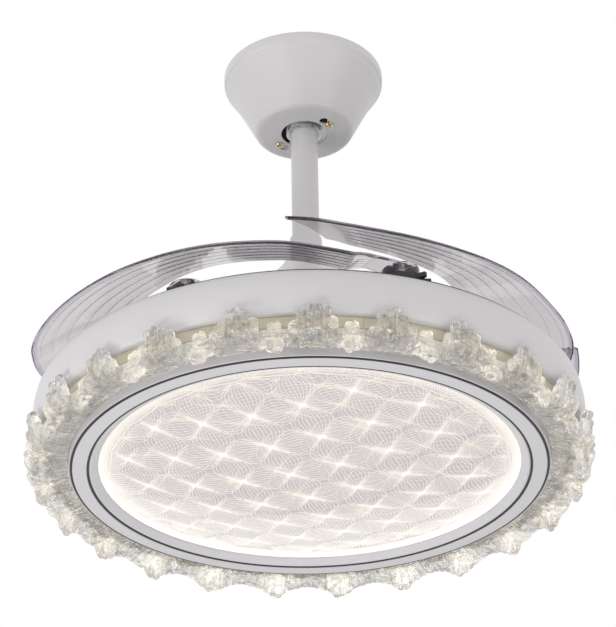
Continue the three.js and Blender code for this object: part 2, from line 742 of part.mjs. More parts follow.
for (let arm = 0; arm < bladeCount; arm += 1) {
  const hinge = new THREE.Group();
  hinge.rotation.z = firstHingeAngle + arm * quarterTurn;
  rotor.add(hinge);
  const number = arm + 1;
  const pin = lathe(pinOutline, tinyRound).translate(hingeRadius, 0, 0);
  const spring = ring(springInner, springInner + springWall, springLow, springHigh, tinyRound);
  addPart(hinge, `blade_${number}`, geometryOf(bladeSolid), smokeAcrylic);
  addPart(hinge, `blade_gear_${number}`, geometryOf(bladeGear), gearPlastic);
  addPart(hinge, `hinge_pin_${number}`, pin, bareSteel);
  addPart(hinge, `blade_spring_${number}`, spring.translate(hingeRadius, 0, 0), bareSteel);
}

// Drum: a rolled white shell, open below the lamp, with its rims turned in
const drumFoot = 25;
const drumHeight = 41.5;
const drumWall = 1.4;
const drumFootLip = 9; // how far the lower rim turns in
const drumTopLip = 12;
const drumTop = drumFoot + drumHeight;
const drumShares = [
  // share of the radius, share of the height
  [0.98, 0],
  [0.995, 0.2],
  [1, 0.5],
  [0.994, 0.85],
  [0.974, 1],
];
const drumOuter = drumShares.map(([radiusShare, heightShare]) => [
  drumRadius * radiusShare,
  drumFoot + drumHeight * heightShare,
]);
const drumMouth = drumOuter[drumOuter.length - 1][0] - drumTopLip;
const drumThroat = drumOuter[0][0] - drumFootLip;
const drumInner = drumOuter
  .map(([radius, height]) => [
    radius - drumWall,
    Math.min(Math.max(height, drumFoot + drumWall), drumTop - drumWall),
  ])
  .reverse();
const drumOutline = [
  [drumThroat, drumFoot],
  ...drumOuter,
  [drumMouth, drumTop],
  [drumMouth, drumTop - drumWall],
  ...drumInner,
  [drumThroat, drumFoot + drumWall],
];
addPart(lamp, "drum_shell", lathe(drumOutline, largeRound), whitePaint);

// Drum top: a black sheet on the drum's rim, with the shaft through it
const topWall = 1;
const topLow = drumTop + seatGap;
const topSetIn = 3;
const topRadius = drumRadius - topSetIn - drumTopLip / 2;
const shaftWay = shaftRadius + seatGap;
const leadRoom = 16.5; // round the shaft, in both sheets
const sheetWay = shaftRadius + leadRoom;
const topSheet = ring(sheetWay, topRadius, topLow, topLow + topWall, largeRound);
addPart(lamp, "drum_top", topSheet, blackPaint);

// Lamp hanger: a steel dish under the drum top, held up by a nut on the shaft
const hangerRadius = drumMouth - 2 * seatGap;
const hangerWall = 1;
const hangerHigh = topLow - seatGap;
const hangerLow = hangerHigh - hangerWall;
const hangerSheet = ring(sheetWay, hangerRadius, hangerLow, hangerHigh, largeRound);
addPart(lamp, "lamp_hanger", hangerSheet, zincPlate);
const nutRadius = 15;
const nutHeight = 8;
const nutFlangeReach = 8; // how far the nut's flange reaches under the hanger
const nutFlangeWall = 2.5;
const nutHigh = hangerLow - seatGap;
const nutLow = nutHigh - nutHeight;
const nutFlange = bar(sheetWay + nutFlangeReach, nutHigh - nutFlangeWall, nutHigh, midRound);
const nutWay = bar(shaftWay, nutLow - cutOverrun, nutHigh + cutOverrun, smallRound);
const nut = solidOf(bar(nutRadius, nutLow, nutHigh, hexSides))
  .add(solidOf(nutFlange))
  .subtract(solidOf(nutWay));
addPart(lamp, "shaft_nut", geometryOf(nut), bareSteel);

// Lamp pan: a white dish behind the lit plate, standing on the trim ring
const trimFaceWall = 3;
const trimWall = 1.6;
const trimHeight = 16;
const panSetIn = 6.5; // the pan's wall, from the trim ring's edge
const panRadius = trimRadius - panSetIn;
const panWall = 1.2;
const panTop = 37;
const panOutline = [
  [0, panTop - panWall],
  [panRadius - panWall, panTop - panWall],
  [panRadius - panWall, trimFaceWall + seatGap],
  [panRadius, trimFaceWall + seatGap],
  [panRadius, panTop],
  [0, panTop],
];
addPart(lamp, "lamp_pan", lathe(panOutline, largeRound), caseWhite);

// Drum floor: a steel ring that joins the drum's lower rim to the lamp pan
const floorWall = 1;
const floorLow = drumFoot + drumWall + seatGap;
const floorInner = panRadius + seatGap;
const floorOuter = drumOuter[0][0] - 2 * drumWall;
const floorRing = ring(floorInner, floorOuter, floorLow, floorLow + floorWall, largeRound);
addPart(lamp, "drum_floor", floorRing, zincPlate);

// Control boxes: the lamp driver and the receiver, side by side on the pan
const boxLength = 110;
const boxWidth = 46;
const boxHeight = 18;
const boxSetOut = 78;
const boxLow = panTop + seatGap;
for (const [name, side] of [
  ["lamp_driver", 1],
  ["remote_receiver", -1],
]) {
  const box = block(boxLength, boxWidth, boxLow, boxLow + boxHeight, 0, side * boxSetOut);
  addPart(lamp, name, box, caseWhite);
}

// Back plate: a polished white sheet across the pan, which mirrors the lit cover in front of it
const plateLow = 12.5;
const plateWall = 2;
const plateRadius = panRadius - panWall - seatGap;
const plateOutline = [
  [0, plateLow],
  [plateRadius, plateLow],
  [plateRadius, plateLow + plateWall],
  [0, plateLow + plateWall],
];
addPart(lamp, "back_plate", lathe(plateOutline, largeRound), clearAcrylic);

// Trim ring: the lilac-white face round the lit cover, with two grooves for dark inlays
const groovePitch = 15; // between the two grooves
const grooveWidth = 2.3;
const grooveDepth = 1.8;
const grooveSetIn = 1.1; // the outer groove, from the ring's edge
const outerGroove = trimRadius - grooveSetIn; // its outer edge
const innerGroove = outerGroove - groovePitch;
const faceWidth = 26.6; // from the trim ring's edge to its mouth
const mouthRadius = trimRadius - faceWidth;
const bandProud = 1; // the band between the grooves stands this far below the rest
const bevelHeight = 5;
const bevelWidth = 6.5;
const lipWall = 2.2;
const trimOutline = [
  [mouthRadius, bevelHeight],
  [mouthRadius + bevelWidth, bandProud],
  [innerGroove - grooveWidth, bandProud],
  [innerGroove - grooveWidth, grooveDepth],
  [innerGroove, grooveDepth],
  [innerGroove, 0],
  [outerGroove - grooveWidth, 0],
  [outerGroove - grooveWidth, grooveDepth],
  [outerGroove, grooveDepth],
  [outerGroove, bandProud],
  [trimRadius, bandProud],
  [trimRadius, trimHeight],
  [trimRadius - trimWall, trimHeight],
  [trimRadius - trimWall, trimFaceWall],
  [mouthRadius + bevelWidth + lipWall, trimFaceWall],
  [mouthRadius + lipWall, bevelHeight + lipWall],
  [mouthRadius, bevelHeight + lipWall],
];
addPart(lamp, "trim_ring", lathe(trimOutline, largeRound), caseWhite);
for (const [name, edge] of [
  ["outer_inlay", outerGroove],
  ["inner_inlay", innerGroove],
]) {
  const inner = edge - grooveWidth + seatGap;
  const inlay = ring(inner, edge - seatGap, seatGap, grooveDepth - seatGap, largeRound);
  addPart(lamp, name, inlay, blackInlay);
}

// Pattern dome: the clear engraved cover, which bellies down from its seat on the trim's lip
const domeSag = 28.4; // from the rim's underside down to the middle
const domeWall = 2;
const domeRings = 8;
const domeRoom = 0.6; // between the dome and the trim ring's mouth
const domeSeat = bevelHeight + lipWall + seatGap;
const domeRadius = mouthRadius - domeRoom;
const domeOutline = [];
for (let step = 0; step <= domeRings; step += 1) {
  const share = step / domeRings;
  domeOutline.push([domeRadius * share, domeSeat - domeSag * (1 - share ** 2)]);
}
const flangeRadius = mouthRadius + lipWall - seatGap;
domeOutline.push([flangeRadius, domeSeat]);
domeOutline.push([flangeRadius, domeSeat + domeWall]);
for (let step = domeRings; step >= 0; step -= 1) {
  const share = step / domeRings;
  domeOutline.push([domeRadius * share, domeSeat + domeWall - domeSag * (1 - share ** 2)]);
}
addPart(lamp, "pattern_dome", lathe(domeOutline, largeRound), clearAcrylic);

// Edge light strip: stands on the dome's flange and lights the dome from its rim
const stripWall = 1.6;
const stripLow = domeSeat + domeWall + seatGap;
const stripHigh = plateLow - seatGap;
const strip = ring(flangeRadius - stripWall, flangeRadius, stripLow, stripHigh, largeRound);
addPart(lamp, "edge_light_strip", strip, warmBoard);

// Halo: a warm strip on the pan's wall and a frosted band under the drum's rim
const haloHeight = 8;
const haloHigh = floorLow - seatGap;
const haloInner = panRadius + seatGap;
const halo = ring(haloInner, haloInner + stripWall, haloHigh - haloHeight, haloHigh, largeRound);
addPart(lamp, "halo_light_strip", halo, warmBoard);
const bandWall = 4.5;
const bandHeight = 10;
const bandHigh = drumFoot - seatGap;
const bandOuter = drumThroat + bandWall;
const bandLow = bandHigh - bandHeight;
const band = ring(drumThroat, bandOuter, bandLow, bandHigh, largeRound);
addPart(lamp, "frosted_band", band, opalAcrylic);

// Crystal edge: clear moulded lengths that carry large upturned and small hanging lobes
const crystalSegments = 6;
const largePerSegment = 4;
const largePlaceShare = 0.3; // where a large crystal stands in its step of the ring
const smallPlaceShare = 0.8;
const crystalStep = fullTurn / (crystalSegments * largePerSegment);
const firstCrystal = THREE.MathUtils.degToRad(-88.9);
const railStep = crystalStep / 2;
const railInner = (trimRadius + seatGap) / Math.cos(railStep / 2);
const railOuter = drumThroat * Math.cos(Math.PI / largeRound) - seatGap;
const railHigh = bandLow - seatGap;
const railHeight = 9;
const railLow = railHigh - railHeight;
const largeOverhang = 8; // how far the large lobes reach past the drum
const largeReach = drumRadius + largeOverhang;
const largeLean = 4; // how far a large lobe leans out over its height
const lobeDepth = 9;
const lobeSpacing = 10;
const lobeTops = [21, 28, 24]; // heights of the three lobes above the lamp's face
const smallSetIn = 2; // and the small ones stop short of its widest
const smallReach = drumRadius - smallSetIn;
const smallSpacing = 11;
const smallDepth = 9;
const smallDrops = [-11, -12]; // the two hanging lobes end below the lamp's face
const rootWidth = 20; // a large crystal where it leaves the rail

// An upright plate across the radius, one edge straight and the other in round lobes.
function lobedPlate(tips, spacing, straight, upward) {
  const radius = spacing / 2 - seatGap;
  const first = (-(tips.length - 1) * spacing) / 2;
  const shape = new THREE.Shape();
  shape.moveTo(first - radius, straight);
  tips.forEach((tip, index) => {
    const middle = first + index * spacing;
    const centre = tip - upward * radius;
    shape.lineTo(middle - radius, centre);
    shape.absarc(middle, centre, radius, Math.PI, 0, upward > 0);
  });
  shape.lineTo(-first + radius, straight);
  shape.closePath();
  return shape;
}

function standingPlate(shape, depth, radius, lean, pivot) {
  const plate = new THREE.ExtrudeGeometry(shape, { depth, bevelEnabled: false, curveSegments: 2 });
  plate.rotateX(quarterTurn).rotateZ(quarterTurn);
  plate.translate(0, 0, -pivot).rotateY(lean).translate(radius - depth, 0, pivot);
  return solidOf(plate);
}
function largeCrystal() {
  const lean = Math.atan(largeLean / (lobeTops[1] - railLow));
  const foot = largeReach - largeLean;
  const plate = lobedPlate(lobeTops, lobeSpacing, railLow, 1);
  return standingPlate(plate, lobeDepth, foot, lean, railLow);
}
function smallCrystal() {
  const plate = lobedPlate(smallDrops, smallSpacing, railHigh - seatGap, -1);
  return standingPlate(plate, smallDepth, smallReach, 0, 0);
}
const segmentTurn = fullTurn / crystalSegments;
const segmentGap = seatGap / railOuter;

// The rail in plan: it steps out to a root under each crystal
const largeRootRadius = largeReach - largeLean - lobeDepth / 2;
const smallRootRadius = smallReach - smallDepth / 2;
const largeRootHalf = lobeSpacing / largeRootRadius;
const smallRootHalf = smallSpacing / 2 / smallRootRadius;
const railPoints = [polar(railOuter, segmentGap)];
for (let index = 0; index < largePerSegment; index += 1) {
  const largeAt = (index + largePlaceShare) * crystalStep;
  const smallAt = (index + smallPlaceShare) * crystalStep;
  railPoints.push(polar(railOuter, largeAt - rootWidth / 2 / railOuter));
  railPoints.push(polar(largeRootRadius, largeAt - largeRootHalf));
  railPoints.push(polar(largeRootRadius, largeAt + largeRootHalf));
  railPoints.push(polar(railOuter, largeAt + rootWidth / 2 / railOuter));
  railPoints.push(polar(smallRootRadius, smallAt - smallRootHalf));
  railPoints.push(polar(smallRootRadius, smallAt + smallRootHalf));
}
railPoints.push(polar(railOuter, segmentTurn - segmentGap));
const innerSteps = 2 * largePerSegment;
for (let step = innerSteps; step >= 0; step -= 1) {
  const angle = segmentGap + ((segmentTurn - 2 * segmentGap) * step) / innerSteps;
  railPoints.push(polar(railInner, angle));
}
const rail = new THREE.Shape(railPoints);
let segmentSolid = solidOf(prism(rail, railLow, railHigh, largePerSegment));
for (let index = 0; index < largePerSegment; index += 1) {
  const largeAt = THREE.MathUtils.radToDeg((index + largePlaceShare) * crystalStep);
  const smallAt = THREE.MathUtils.radToDeg((index + smallPlaceShare) * crystalStep);
  segmentSolid = segmentSolid
    .add(largeCrystal().rotate([0, 0, largeAt]))
    .add(smallCrystal().rotate([0, 0, smallAt]));
}
for (let segment = 0; segment < crystalSegments; segment += 1) {
  const holder = new THREE.Group();
  holder.rotation.z = firstCrystal - crystalStep * largePlaceShare + segment * segmentTurn;
  lamp.add(holder);
  addPart(holder, `crystal_segment_${segment + 1}`, geometryOf(segmentSolid), clearAcrylic);
}

export default fan;
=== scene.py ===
import math

import bmesh
import bpy
from mathutils import Matrix, Vector


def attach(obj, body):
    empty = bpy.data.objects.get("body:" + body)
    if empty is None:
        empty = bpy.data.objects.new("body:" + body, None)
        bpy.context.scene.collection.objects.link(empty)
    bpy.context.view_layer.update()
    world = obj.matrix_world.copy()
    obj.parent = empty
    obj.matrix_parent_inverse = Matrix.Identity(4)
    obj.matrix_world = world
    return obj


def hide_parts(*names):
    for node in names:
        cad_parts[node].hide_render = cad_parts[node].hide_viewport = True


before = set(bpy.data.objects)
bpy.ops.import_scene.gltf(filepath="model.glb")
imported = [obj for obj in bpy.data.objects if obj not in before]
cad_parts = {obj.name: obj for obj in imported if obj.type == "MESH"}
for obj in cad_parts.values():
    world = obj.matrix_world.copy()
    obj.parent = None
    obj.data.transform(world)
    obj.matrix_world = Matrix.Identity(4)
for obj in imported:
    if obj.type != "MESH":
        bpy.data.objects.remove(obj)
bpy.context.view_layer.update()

# The view: a long lens in front of the fan and well below it, looking up at about
# thirty degrees, so the lit face of the lamp fills the lower half of the picture.
ceiling = 0.0
lamp_face = -0.438  # height of the lamp's lower face, from the ceiling
lamp_level = 1000 * lamp_face
lens_distance = 2.154
lens_rise = math.radians(30.6)
lens_roll = math.radians(-1.0)
lens_pixels = 2400.0
picture_height = 627
picture_middle = (308.0, 313.5)
lamp_middle = (310.0, 475.3)  # where the middle of the lamp's face falls
forward = Vector((0, math.cos(lens_rise), math.sin(lens_rise)))
level = Vector((1, 0, 0))
upward = level.cross(forward)
right = level * math.cos(lens_roll) + upward * math.sin(lens_roll)
above = upward * math.cos(lens_roll) - level * math.sin(lens_roll)
across = (lamp_middle[0] - picture_middle[0]) / lens_pixels
down = (lamp_middle[1] - picture_middle[1]) / lens_pixels
lens_place = Vector((0, 0, lamp_face)) - lens_distance * (forward + across * right - down * above)
sensor_height = 36


def in_scene(name, data):
    """A new object in the scene, at its origin."""
    thing = bpy.data.objects.new(name, data)
    bpy.context.scene.collection.objects.link(thing)
    return thing


camera_data = bpy.data.cameras.new("camera")
camera_data.sensor_fit = "VERTICAL"
camera_data.sensor_height = sensor_height
camera_data.lens = lens_pixels * sensor_height / picture_height
camera_data.clip_end = 30
camera = in_scene("camera", camera_data)
camera.matrix_world = Matrix.Translation(lens_place) @ Matrix(
    (
        (right.x, above.x, -forward.x, 0),
        (right.y, above.y, -forward.y, 0),
        (right.z, above.z, -forward.z, 0),
        (0, 0, 0, 1),
    )
)
bpy.context.scene.camera = camera
bpy.context.scene.view_settings.view_transform = "Standard"

# Ceiling cover: a spun steel cone in warm-white baked paint, with a stepped rim and a flat
# floor. Two keyholes in the floor hang it on the bracket's screws, and the rod passes
# through the round hole in the middle.


def add_node(tree, kind, feeds=(), **settings):
    """Adds a node. Small-letter settings are its own, capital ones are its inputs."""
    node = tree.nodes.new(kind)
    for name, value in settings.items():
        if name[0].islower():
            setattr(node, name, value)
        else:
            put(tree, node.inputs[name.replace("_", " ")], value)
    for index, value in enumerate(feeds):
        put(tree, node.inputs[index], value)
    return node


def put(tree, socket, value):
    """Sets an input to a value, or wires another node's output to it."""
    if isinstance(value, bpy.types.NodeSocket):
        tree.links.new(value, socket)
    else:
        socket.default_value = value


def new_group(name, kind, outputs, inputs):
    """A node group, and what its inputs give. Each socket has a first value or a kind."""
    group = bpy.data.node_groups.new(name, kind)
    kinds = {tuple: "Color", float: "Float", int: "Int"}
    for way, sockets in (("INPUT", inputs), ("OUTPUT", outputs)):
        for title, value in sockets.items():
            named = isinstance(value, str)
            socket = group.interface.new_socket(
                name=title.replace("_", " "),
                in_out=way,
                socket_type="NodeSocket" + (value if named else kinds[type(value)]),
            )
            if not named:
                socket.default_value = value
    return group, group.nodes.new("NodeGroupInput").outputs


def new_effect(name, **inputs):
    """A finish's shader group, what its inputs give, and the place on the piece."""
    outputs = {"Colour": "Color", "Roughness": "Float", "Height": "Float"}
    group, given = new_group(name, "ShaderNodeTree", outputs, inputs)
    return group, given, add_node(group, "ShaderNodeTexCoord").outputs["Object"]


def noise(tree, place, size, detail, roughness=0.5):
    """Cloudy noise, mostly between nought and one."""
    return add_node(
        tree, "ShaderNodeTexNoise", Vector=place, Scale=size, Detail=detail, Roughness=roughness
    ).outputs["Fac"]


def sums(tree, operation, *values):
    """One step of arithmetic on the given values."""
    return add_node(tree, "ShaderNodeMath", feeds=values, operation=operation).outputs[0]


def varied(tree, colour, mask, depth):
    """The colour made darker and lighter by a mask that runs from nought to one."""
    swing = sums(tree, "SUBTRACT", mask, 0.5)
    tone = sums(tree, "MULTIPLY_ADD", swing, depth, 1.0)
    return add_node(tree, "ShaderNodeVectorMath", feeds=(colour,), operation="SCALE", Scale=tone).outputs[0]


def mixed(tree, share, first, second):
    """The first colour where the share is nought, and the second where it is one."""
    mix = add_node(tree, "ShaderNodeMix", data_type="RGBA")
    for index, value in ((0, share), (6, first), (7, second)):
        put(tree, mix.inputs[index], value)
    return mix.outputs[2]


# Sprayed paint: slow clouds of tone and a fine orange peel
sprayed_paint, given, place = new_effect(
    "Sprayed Paint", Colour=(0.6, 0.6, 0.6, 1), Cloud_Depth=0.03, Peel_Size=700.0, Roughness=0.4
)
clouds = noise(sprayed_paint, place, 14.0, 3.0)
rubbed = sums(sprayed_paint, "MULTIPLY_ADD", clouds, 0.12, given["Roughness"])
add_node(
    sprayed_paint,
    "NodeGroupOutput",
    Colour=varied(sprayed_paint, given["Colour"], clouds, given["Cloud Depth"]),
    Roughness=sums(sprayed_paint, "SUBTRACT", rubbed, 0.06),
    Height=noise(sprayed_paint, place, given["Peel Size"], 2.0),
)


def finish_from(name, effect, values, bump, **shader_values):
    """A material whose colour, roughness and relief come from one of the effect groups."""
    material = bpy.data.materials.new(name)
    material.use_nodes = True
    tree = material.node_tree
    shader = tree.nodes["Principled BSDF"]
    group = add_node(tree, "ShaderNodeGroup", node_tree=effect)
    for title, value in values.items():
        put(tree, group.inputs[title], value)
    given = group.outputs
    relief = add_node(tree, "ShaderNodeBump", Height=given["Height"], Strength=bump[0], Distance=bump[1])
    put(tree, shader.inputs["Base Color"], given["Colour"])
    put(tree, shader.inputs["Roughness"], given["Roughness"])
    put(tree, shader.inputs["Normal"], relief.outputs["Normal"])
    for title, value in shader_values.items():
        put(tree, shader.inputs[title.replace("_", " ")], value)
    return material


def finish_of(effect, *titles):
    """Makes the finishes of one effect, from its values in the order of the given titles."""

    def finish(name, colour, *values, bump, **shader_values):
        group_values = dict(zip(titles, values), Colour=(*colour, 1))
        return finish_from(name, effect, group_values, bump, **shader_values)

    return finish


sprayed = finish_of(sprayed_paint, "Cloud Depth", "Peel Size", "Roughness")
white_paint = sprayed(
    "warm white paint", (0.67, 0.65, 0.665), 0.04, 900.0, 0.42, bump=(0.25, 0.0001),
    Coat_Weight=0.15, Coat_Roughness=0.25,
)


def softened(outline, radius, steps=4):
    """Rounds the corners of a closed outline, with a near point each side to keep flats flat."""
    points = []
    for index, here in enumerate(outline):
        corner = Vector(here)
        back = Vector(outline[index - 1]) - corner
        ahead = Vector(outline[(index + 1) % len(outline)]) - corner
        turn = math.pi - back.angle(ahead)
        if corner.x < 1e-6 or turn < math.radians(12):
            points.append(corner)
            continue
        cut = min(radius * math.tan(turn / 2), 0.3 * back.length, 0.3 * ahead.length)
        start = corner + back.normalized() * cut
        end = corner + ahead.normalized() * cut
        points.append(corner + back.normalized() * cut * 1.4)
        for step in range(steps + 1):
            t = step / steps
            points.append((1 - t) ** 2 * start + 2 * t * (1 - t) * corner + t * t * end)
        points.append(corner + ahead.normalized() * cut * 1.4)
    return [(point.x, point.y) for point in points]


def ring_point(radius, angle):
    """The point at a radius and an angle round the fan's axis."""
    return radius * math.cos(angle), radius * math.sin(angle)


def turned(name, outline, base=lamp_face, turns=192):
    """A closed piece turned round the fan's axis from an outline in millimetres over the base."""
    rows = []
    vertices = []
    for radius, height in outline:
        if radius < 1e-6:
            rows.append([len(vertices)] * turns)
            vertices.append((0, 0, base + height / 1000))
            continue
        rows.append([len(vertices) + turn for turn in range(turns)])
        for turn in range(turns):
            x, y = ring_point(radius, 2 * math.pi * turn / turns)
            vertices.append((x / 1000, y / 1000, base + height / 1000))
    faces = []
    for index, row in enumerate(rows):
        other = rows[(index + 1) % len(rows)]
        if outline[index][0] < 1e-6 and outline[(index + 1) % len(rows)][0] < 1e-6:
            continue
        for turn in range(turns):
            after = (turn + 1) % turns
            face = [row[turn], row[after], other[after], other[turn]]
            faces.append(list(dict.fromkeys(face)))
    return solid_piece(name, vertices, faces)


def solid_piece(name, vertices, faces):
    """A smooth closed piece whose faces are turned outwards."""
    mesh = bpy.data.meshes.new(name)
    mesh.from_pydata(vertices, [], faces)
    work = bmesh.new()
    work.from_mesh(mesh)
    bmesh.ops.remove_doubles(work, verts=work.verts, dist=1e-7)
    bmesh.ops.recalc_face_normals(work, faces=work.faces)
    for face in work.faces:
        face.smooth = True
    work.to_mesh(mesh)
    work.free()
    return in_scene(name, mesh)


def upright(name, outline, low, high, base=lamp_face):
    """A straight prism on a flat outline, in millimetres over the base."""
    count = len(outline)
    vertices = [(x / 1000, y / 1000, base + height / 1000) for height in (low, high) for x, y in outline]
    faces = [list(range(count)), list(range(count, 2 * count))]
    faces += [[i, (i + 1) % count, count + (i + 1) % count, count + i] for i in range(count)]
    return solid_piece(name, vertices, faces)


def rectangle(left, right, low, high):
    """A rectangle's corners, for a plan or for the section of a ring."""
    return [(left, low), (right, low), (right, high), (left, high)]


def round_outline(radius, x=0.0, y=0.0, sides=48):
    """A circle's points."""
    points = [ring_point(radius, 2 * math.pi * side / sides) for side in range(sides)]
    return [(x + along, y + up) for along, up in points]


def moved(piece, turn=0.0, axis="Z", to=(0, 0, 0)):
    """Turns a piece's mesh and then shifts it, in millimetres."""
    shift = [part / 1000 for part in to]
    piece.data.transform(Matrix.Translation(shift) @ Matrix.Rotation(turn, 4, axis))
    return piece


def worked(piece, others, operation="DIFFERENCE"):
    """Cuts the others from the piece or joins them to it, and takes them away."""
    for other in others:
        change = piece.modifiers.new("work", "BOOLEAN")
        change.operation = operation
        change.solver = "EXACT"
        change.object = other
    made_plain(piece)
    for other in others:
        bpy.data.objects.remove(other)
    return piece


def made_plain(piece):
    """Turns a piece with modifiers into a plain mesh."""
    bpy.context.view_layer.update()
    evaluated = piece.evaluated_get(bpy.context.evaluated_depsgraph_get())
    mesh = bpy.data.meshes.new_from_object(evaluated)
    piece.modifiers.clear()
    piece.data = mesh
    mesh.name = piece.name
    return piece


def sharp_edges(piece, angle=35):
    """Keeps edges sharper than the angle crisp under smooth shading."""
    piece.data.set_sharp_from_angle(angle=math.radians(angle))
    return piece


def finished(piece, material, body, slot, *nodes):
    """Gives a piece its material, its body and the nodes it stands for. The record slot is not used."""
    piece.data.materials.clear()
    piece.data.materials.append(material)
    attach(piece, body)
    if nodes:
        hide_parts(*nodes)
    return piece


canopy_side = [
    (78.0, 0), (78.1, -3), (78.0, -6), (77.7, -8.2), (76.9, -9.6), (75.9, -10.4), (75.3, -11.6),
    (74.6, -13.2), (73.3, -15.4), (71.4, -18), (69.0, -21.8), (66.4, -26.4), (63.4, -32), (60.2, -38.2),
    (57.1, -44.4), (54.2, -50.4), (51.4, -56), (48.9, -61), (47.4, -63.6), (45.2, -65.2), (42.4, -66),
]
canopy_wall = 1.5
rod_way = 22.2  # radius of the hole in the canopy's floor
canopy_outline = canopy_side + [(rod_way, -66), (rod_way, canopy_wall - 66), (42.0, -64.5), (45.6, -61.6)]
canopy_outline += [(radius - canopy_wall, height) for radius, height in reversed(canopy_side[:-4])]
screw_turn = math.radians(-33.6)
screw_circle = 29.3
slot_half = 2.6
head_way = 4.8
twist = math.radians(14)
keyholes = []
for half_turn in (0, math.pi):
    slot_end = screw_turn + half_turn + slot_half / screw_circle
    big_end = screw_turn + half_turn - twist
    arc = [big_end + (slot_end - big_end) * step / 12 for step in range(13)]
    slot = [ring_point(screw_circle + slot_half, angle) for angle in arc]
    slot += [ring_point(screw_circle - slot_half, angle) for angle in reversed(arc)]
    big = round_outline(head_way, *ring_point(screw_circle, big_end), 32)
    keyholes.append(upright("keyhole_slot", slot, -70, -62, base=ceiling))
    keyholes.append(upright("keyhole_round", big, -70.2, -61.8, base=ceiling))
canopy = turned("canopy_shell", softened(canopy_outline, 0.6), base=ceiling)
sharp_edges(worked(canopy, keyholes))
finished(canopy, white_paint, "canopy", "white_paint", "canopy_cover")

# Hanger ball: moulded dark nylon, with a steel cross pin that holds the rod in it. The
# bracket that carries it keeps its CAD shape and plain finish.
zinc_spangle, given, place = new_effect(
    "Zinc Spangle", Colour=(0.5, 0.5, 0.5, 1), Flake_Size=90.0, Flake_Depth=0.3, Roughness=0.35
)
flakes = add_node(zinc_spangle, "ShaderNodeTexVoronoi", Vector=place, Scale=given["Flake Size"])
shade = add_node(zinc_spangle, "ShaderNodeSeparateColor", Color=flakes.outputs["Color"]).outputs[0]
add_node(
    zinc_spangle,
    "NodeGroupOutput",
    Colour=varied(zinc_spangle, given["Colour"], shade, given["Flake Depth"]),
    Roughness=sums(zinc_spangle, "MULTIPLY_ADD", shade, 0.12, given["Roughness"]),
    Height=noise(zinc_spangle, place, 300.0, 4.0),
)
plated = finish_of(zinc_spangle, "Flake Size", "Flake Depth", "Roughness")

turned_lines, given, place = new_effect(
    "Turned Lines", Colour=(0.5, 0.5, 0.5, 1), Line_Size=1500.0, Line_Depth=0.2, Roughness=0.3
)
apart = add_node(turned_lines, "ShaderNodeSeparateXYZ", feeds=(place,)).outputs
squares = [sums(turned_lines, "MULTIPLY", part, part) for part in apart[:2]]
far_out = sums(turned_lines, "SQRT", sums(turned_lines, "ADD", *squares))
groove_place = add_node(turned_lines, "ShaderNodeCombineXYZ", feeds=(far_out, 0.0, apart[2])).outputs[0]
line = noise(turned_lines, groove_place, given["Line Size"], 3.0)
add_node(
    turned_lines,
    "NodeGroupOutput",
    Colour=varied(turned_lines, given["Colour"], line, given["Line Depth"]),
    Roughness=sums(turned_lines, "MULTIPLY_ADD", line, 0.15, given["Roughness"]),
    Height=line,
)
lathed = finish_of(turned_lines, "Line Size", "Line Depth", "Roughness")

bright_zinc = plated(
    "bright zinc plate", (0.62, 0.63, 0.64), 160.0, 0.35, 0.26, bump=(0.3, 0.0001), Metallic=1.0
)
bare_steel = lathed("turned steel", (0.5, 0.5, 0.52), 1800.0, 0.3, 0.25, bump=(0.3, 0.0001), Metallic=1.0)
dark_nylon = sprayed("dark nylon", (0.035, 0.035, 0.038), 0.2, 1400.0, 0.5, bump=(0.4, 0.0002))


def dressed(material, *nodes):
    """Gives CAD nodes whose shape stays their finished material."""
    for name in nodes:
        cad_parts[name].material_slots[0].material = material


ball_height = -37.94
ball_radius = 22
ball_cut = 43  # degrees up and down from its middle where the ball is cut flat
ball_side = []
for step in range(25):
    x, y = ring_point(ball_radius, math.radians(ball_cut - 2 * ball_cut * step / 24))
    ball_side.append((x, ball_height + y))
ball_outline = ball_side + [(15.4, ball_height - 15), (15.2, ball_height), (15.4, ball_height + 15)]
ball = turned("hanger_ball_moulding", softened(ball_outline, 0.8), base=ceiling, turns=96)
finished(ball, dark_nylon, "ball", "gear_plastic", "hanger_ball")
pin_tip = [(0, -20), (2.6, -20), (3.2, -19.3), (3.2, 19.3), (2.6, 20), (0, 20)]
pin = turned("hanger_cross_pin", pin_tip, base=ceiling, turns=40)
moved(pin, math.pi / 2, "X", to=(0, 0, ball_height))
finished(sharp_edges(pin), bare_steel, "ball", "bare_steel", "hanger_pin")

# Canopy screws: two pan-head steel screws with yellow zinc plate and a cross recess, up
# through the keyholes into the bracket's seat plate.
yellow_zinc = plated(
    "yellow zinc plate", (0.74, 0.62, 0.36), 420.0, 0.5, 0.22, bump=(0.3, 0.0001), Metallic=1.0
)
head_low = -68.9
screw_outline = [(0, head_low + 0.1), (1.8, head_low + 0.15), (3.1, head_low + 0.6), (3.9, head_low + 1.5)]
screw_outline += [(4.0, head_low + 2.6), (2.0, head_low + 2.6)]
thread_pitch = 0.7
thread_high = -44.8
thread = -65.4
while thread < thread_high:
    screw_outline += [(2.0, thread), (1.6, thread + thread_pitch / 2)]
    thread += thread_pitch
screw_outline += [(1.2, -44.1), (0, -44.0)]
for index, half_turn in ((1, 0), (2, math.pi)):
    screw = turned(f"canopy_fixing_screw_{index}", screw_outline, base=ceiling, turns=36)
    bar = rectangle(-2.1, 2.1, -0.45, 0.45)
    cross = [upright("cross", bar, -69.5, -67.6, base=ceiling)]
    cross.append(upright("cross", [(-y, x) for x, y in bar], -69.6, -67.7, base=ceiling))
    sharp_edges(worked(screw, cross))
    away = screw_turn + half_turn
    moved(screw, away + 0.6, to=(*ring_point(screw_circle, away), 0))
    finished(screw, yellow_zinc, "ceiling_mount", "yellow_zinc", f"canopy_screw_{index}")

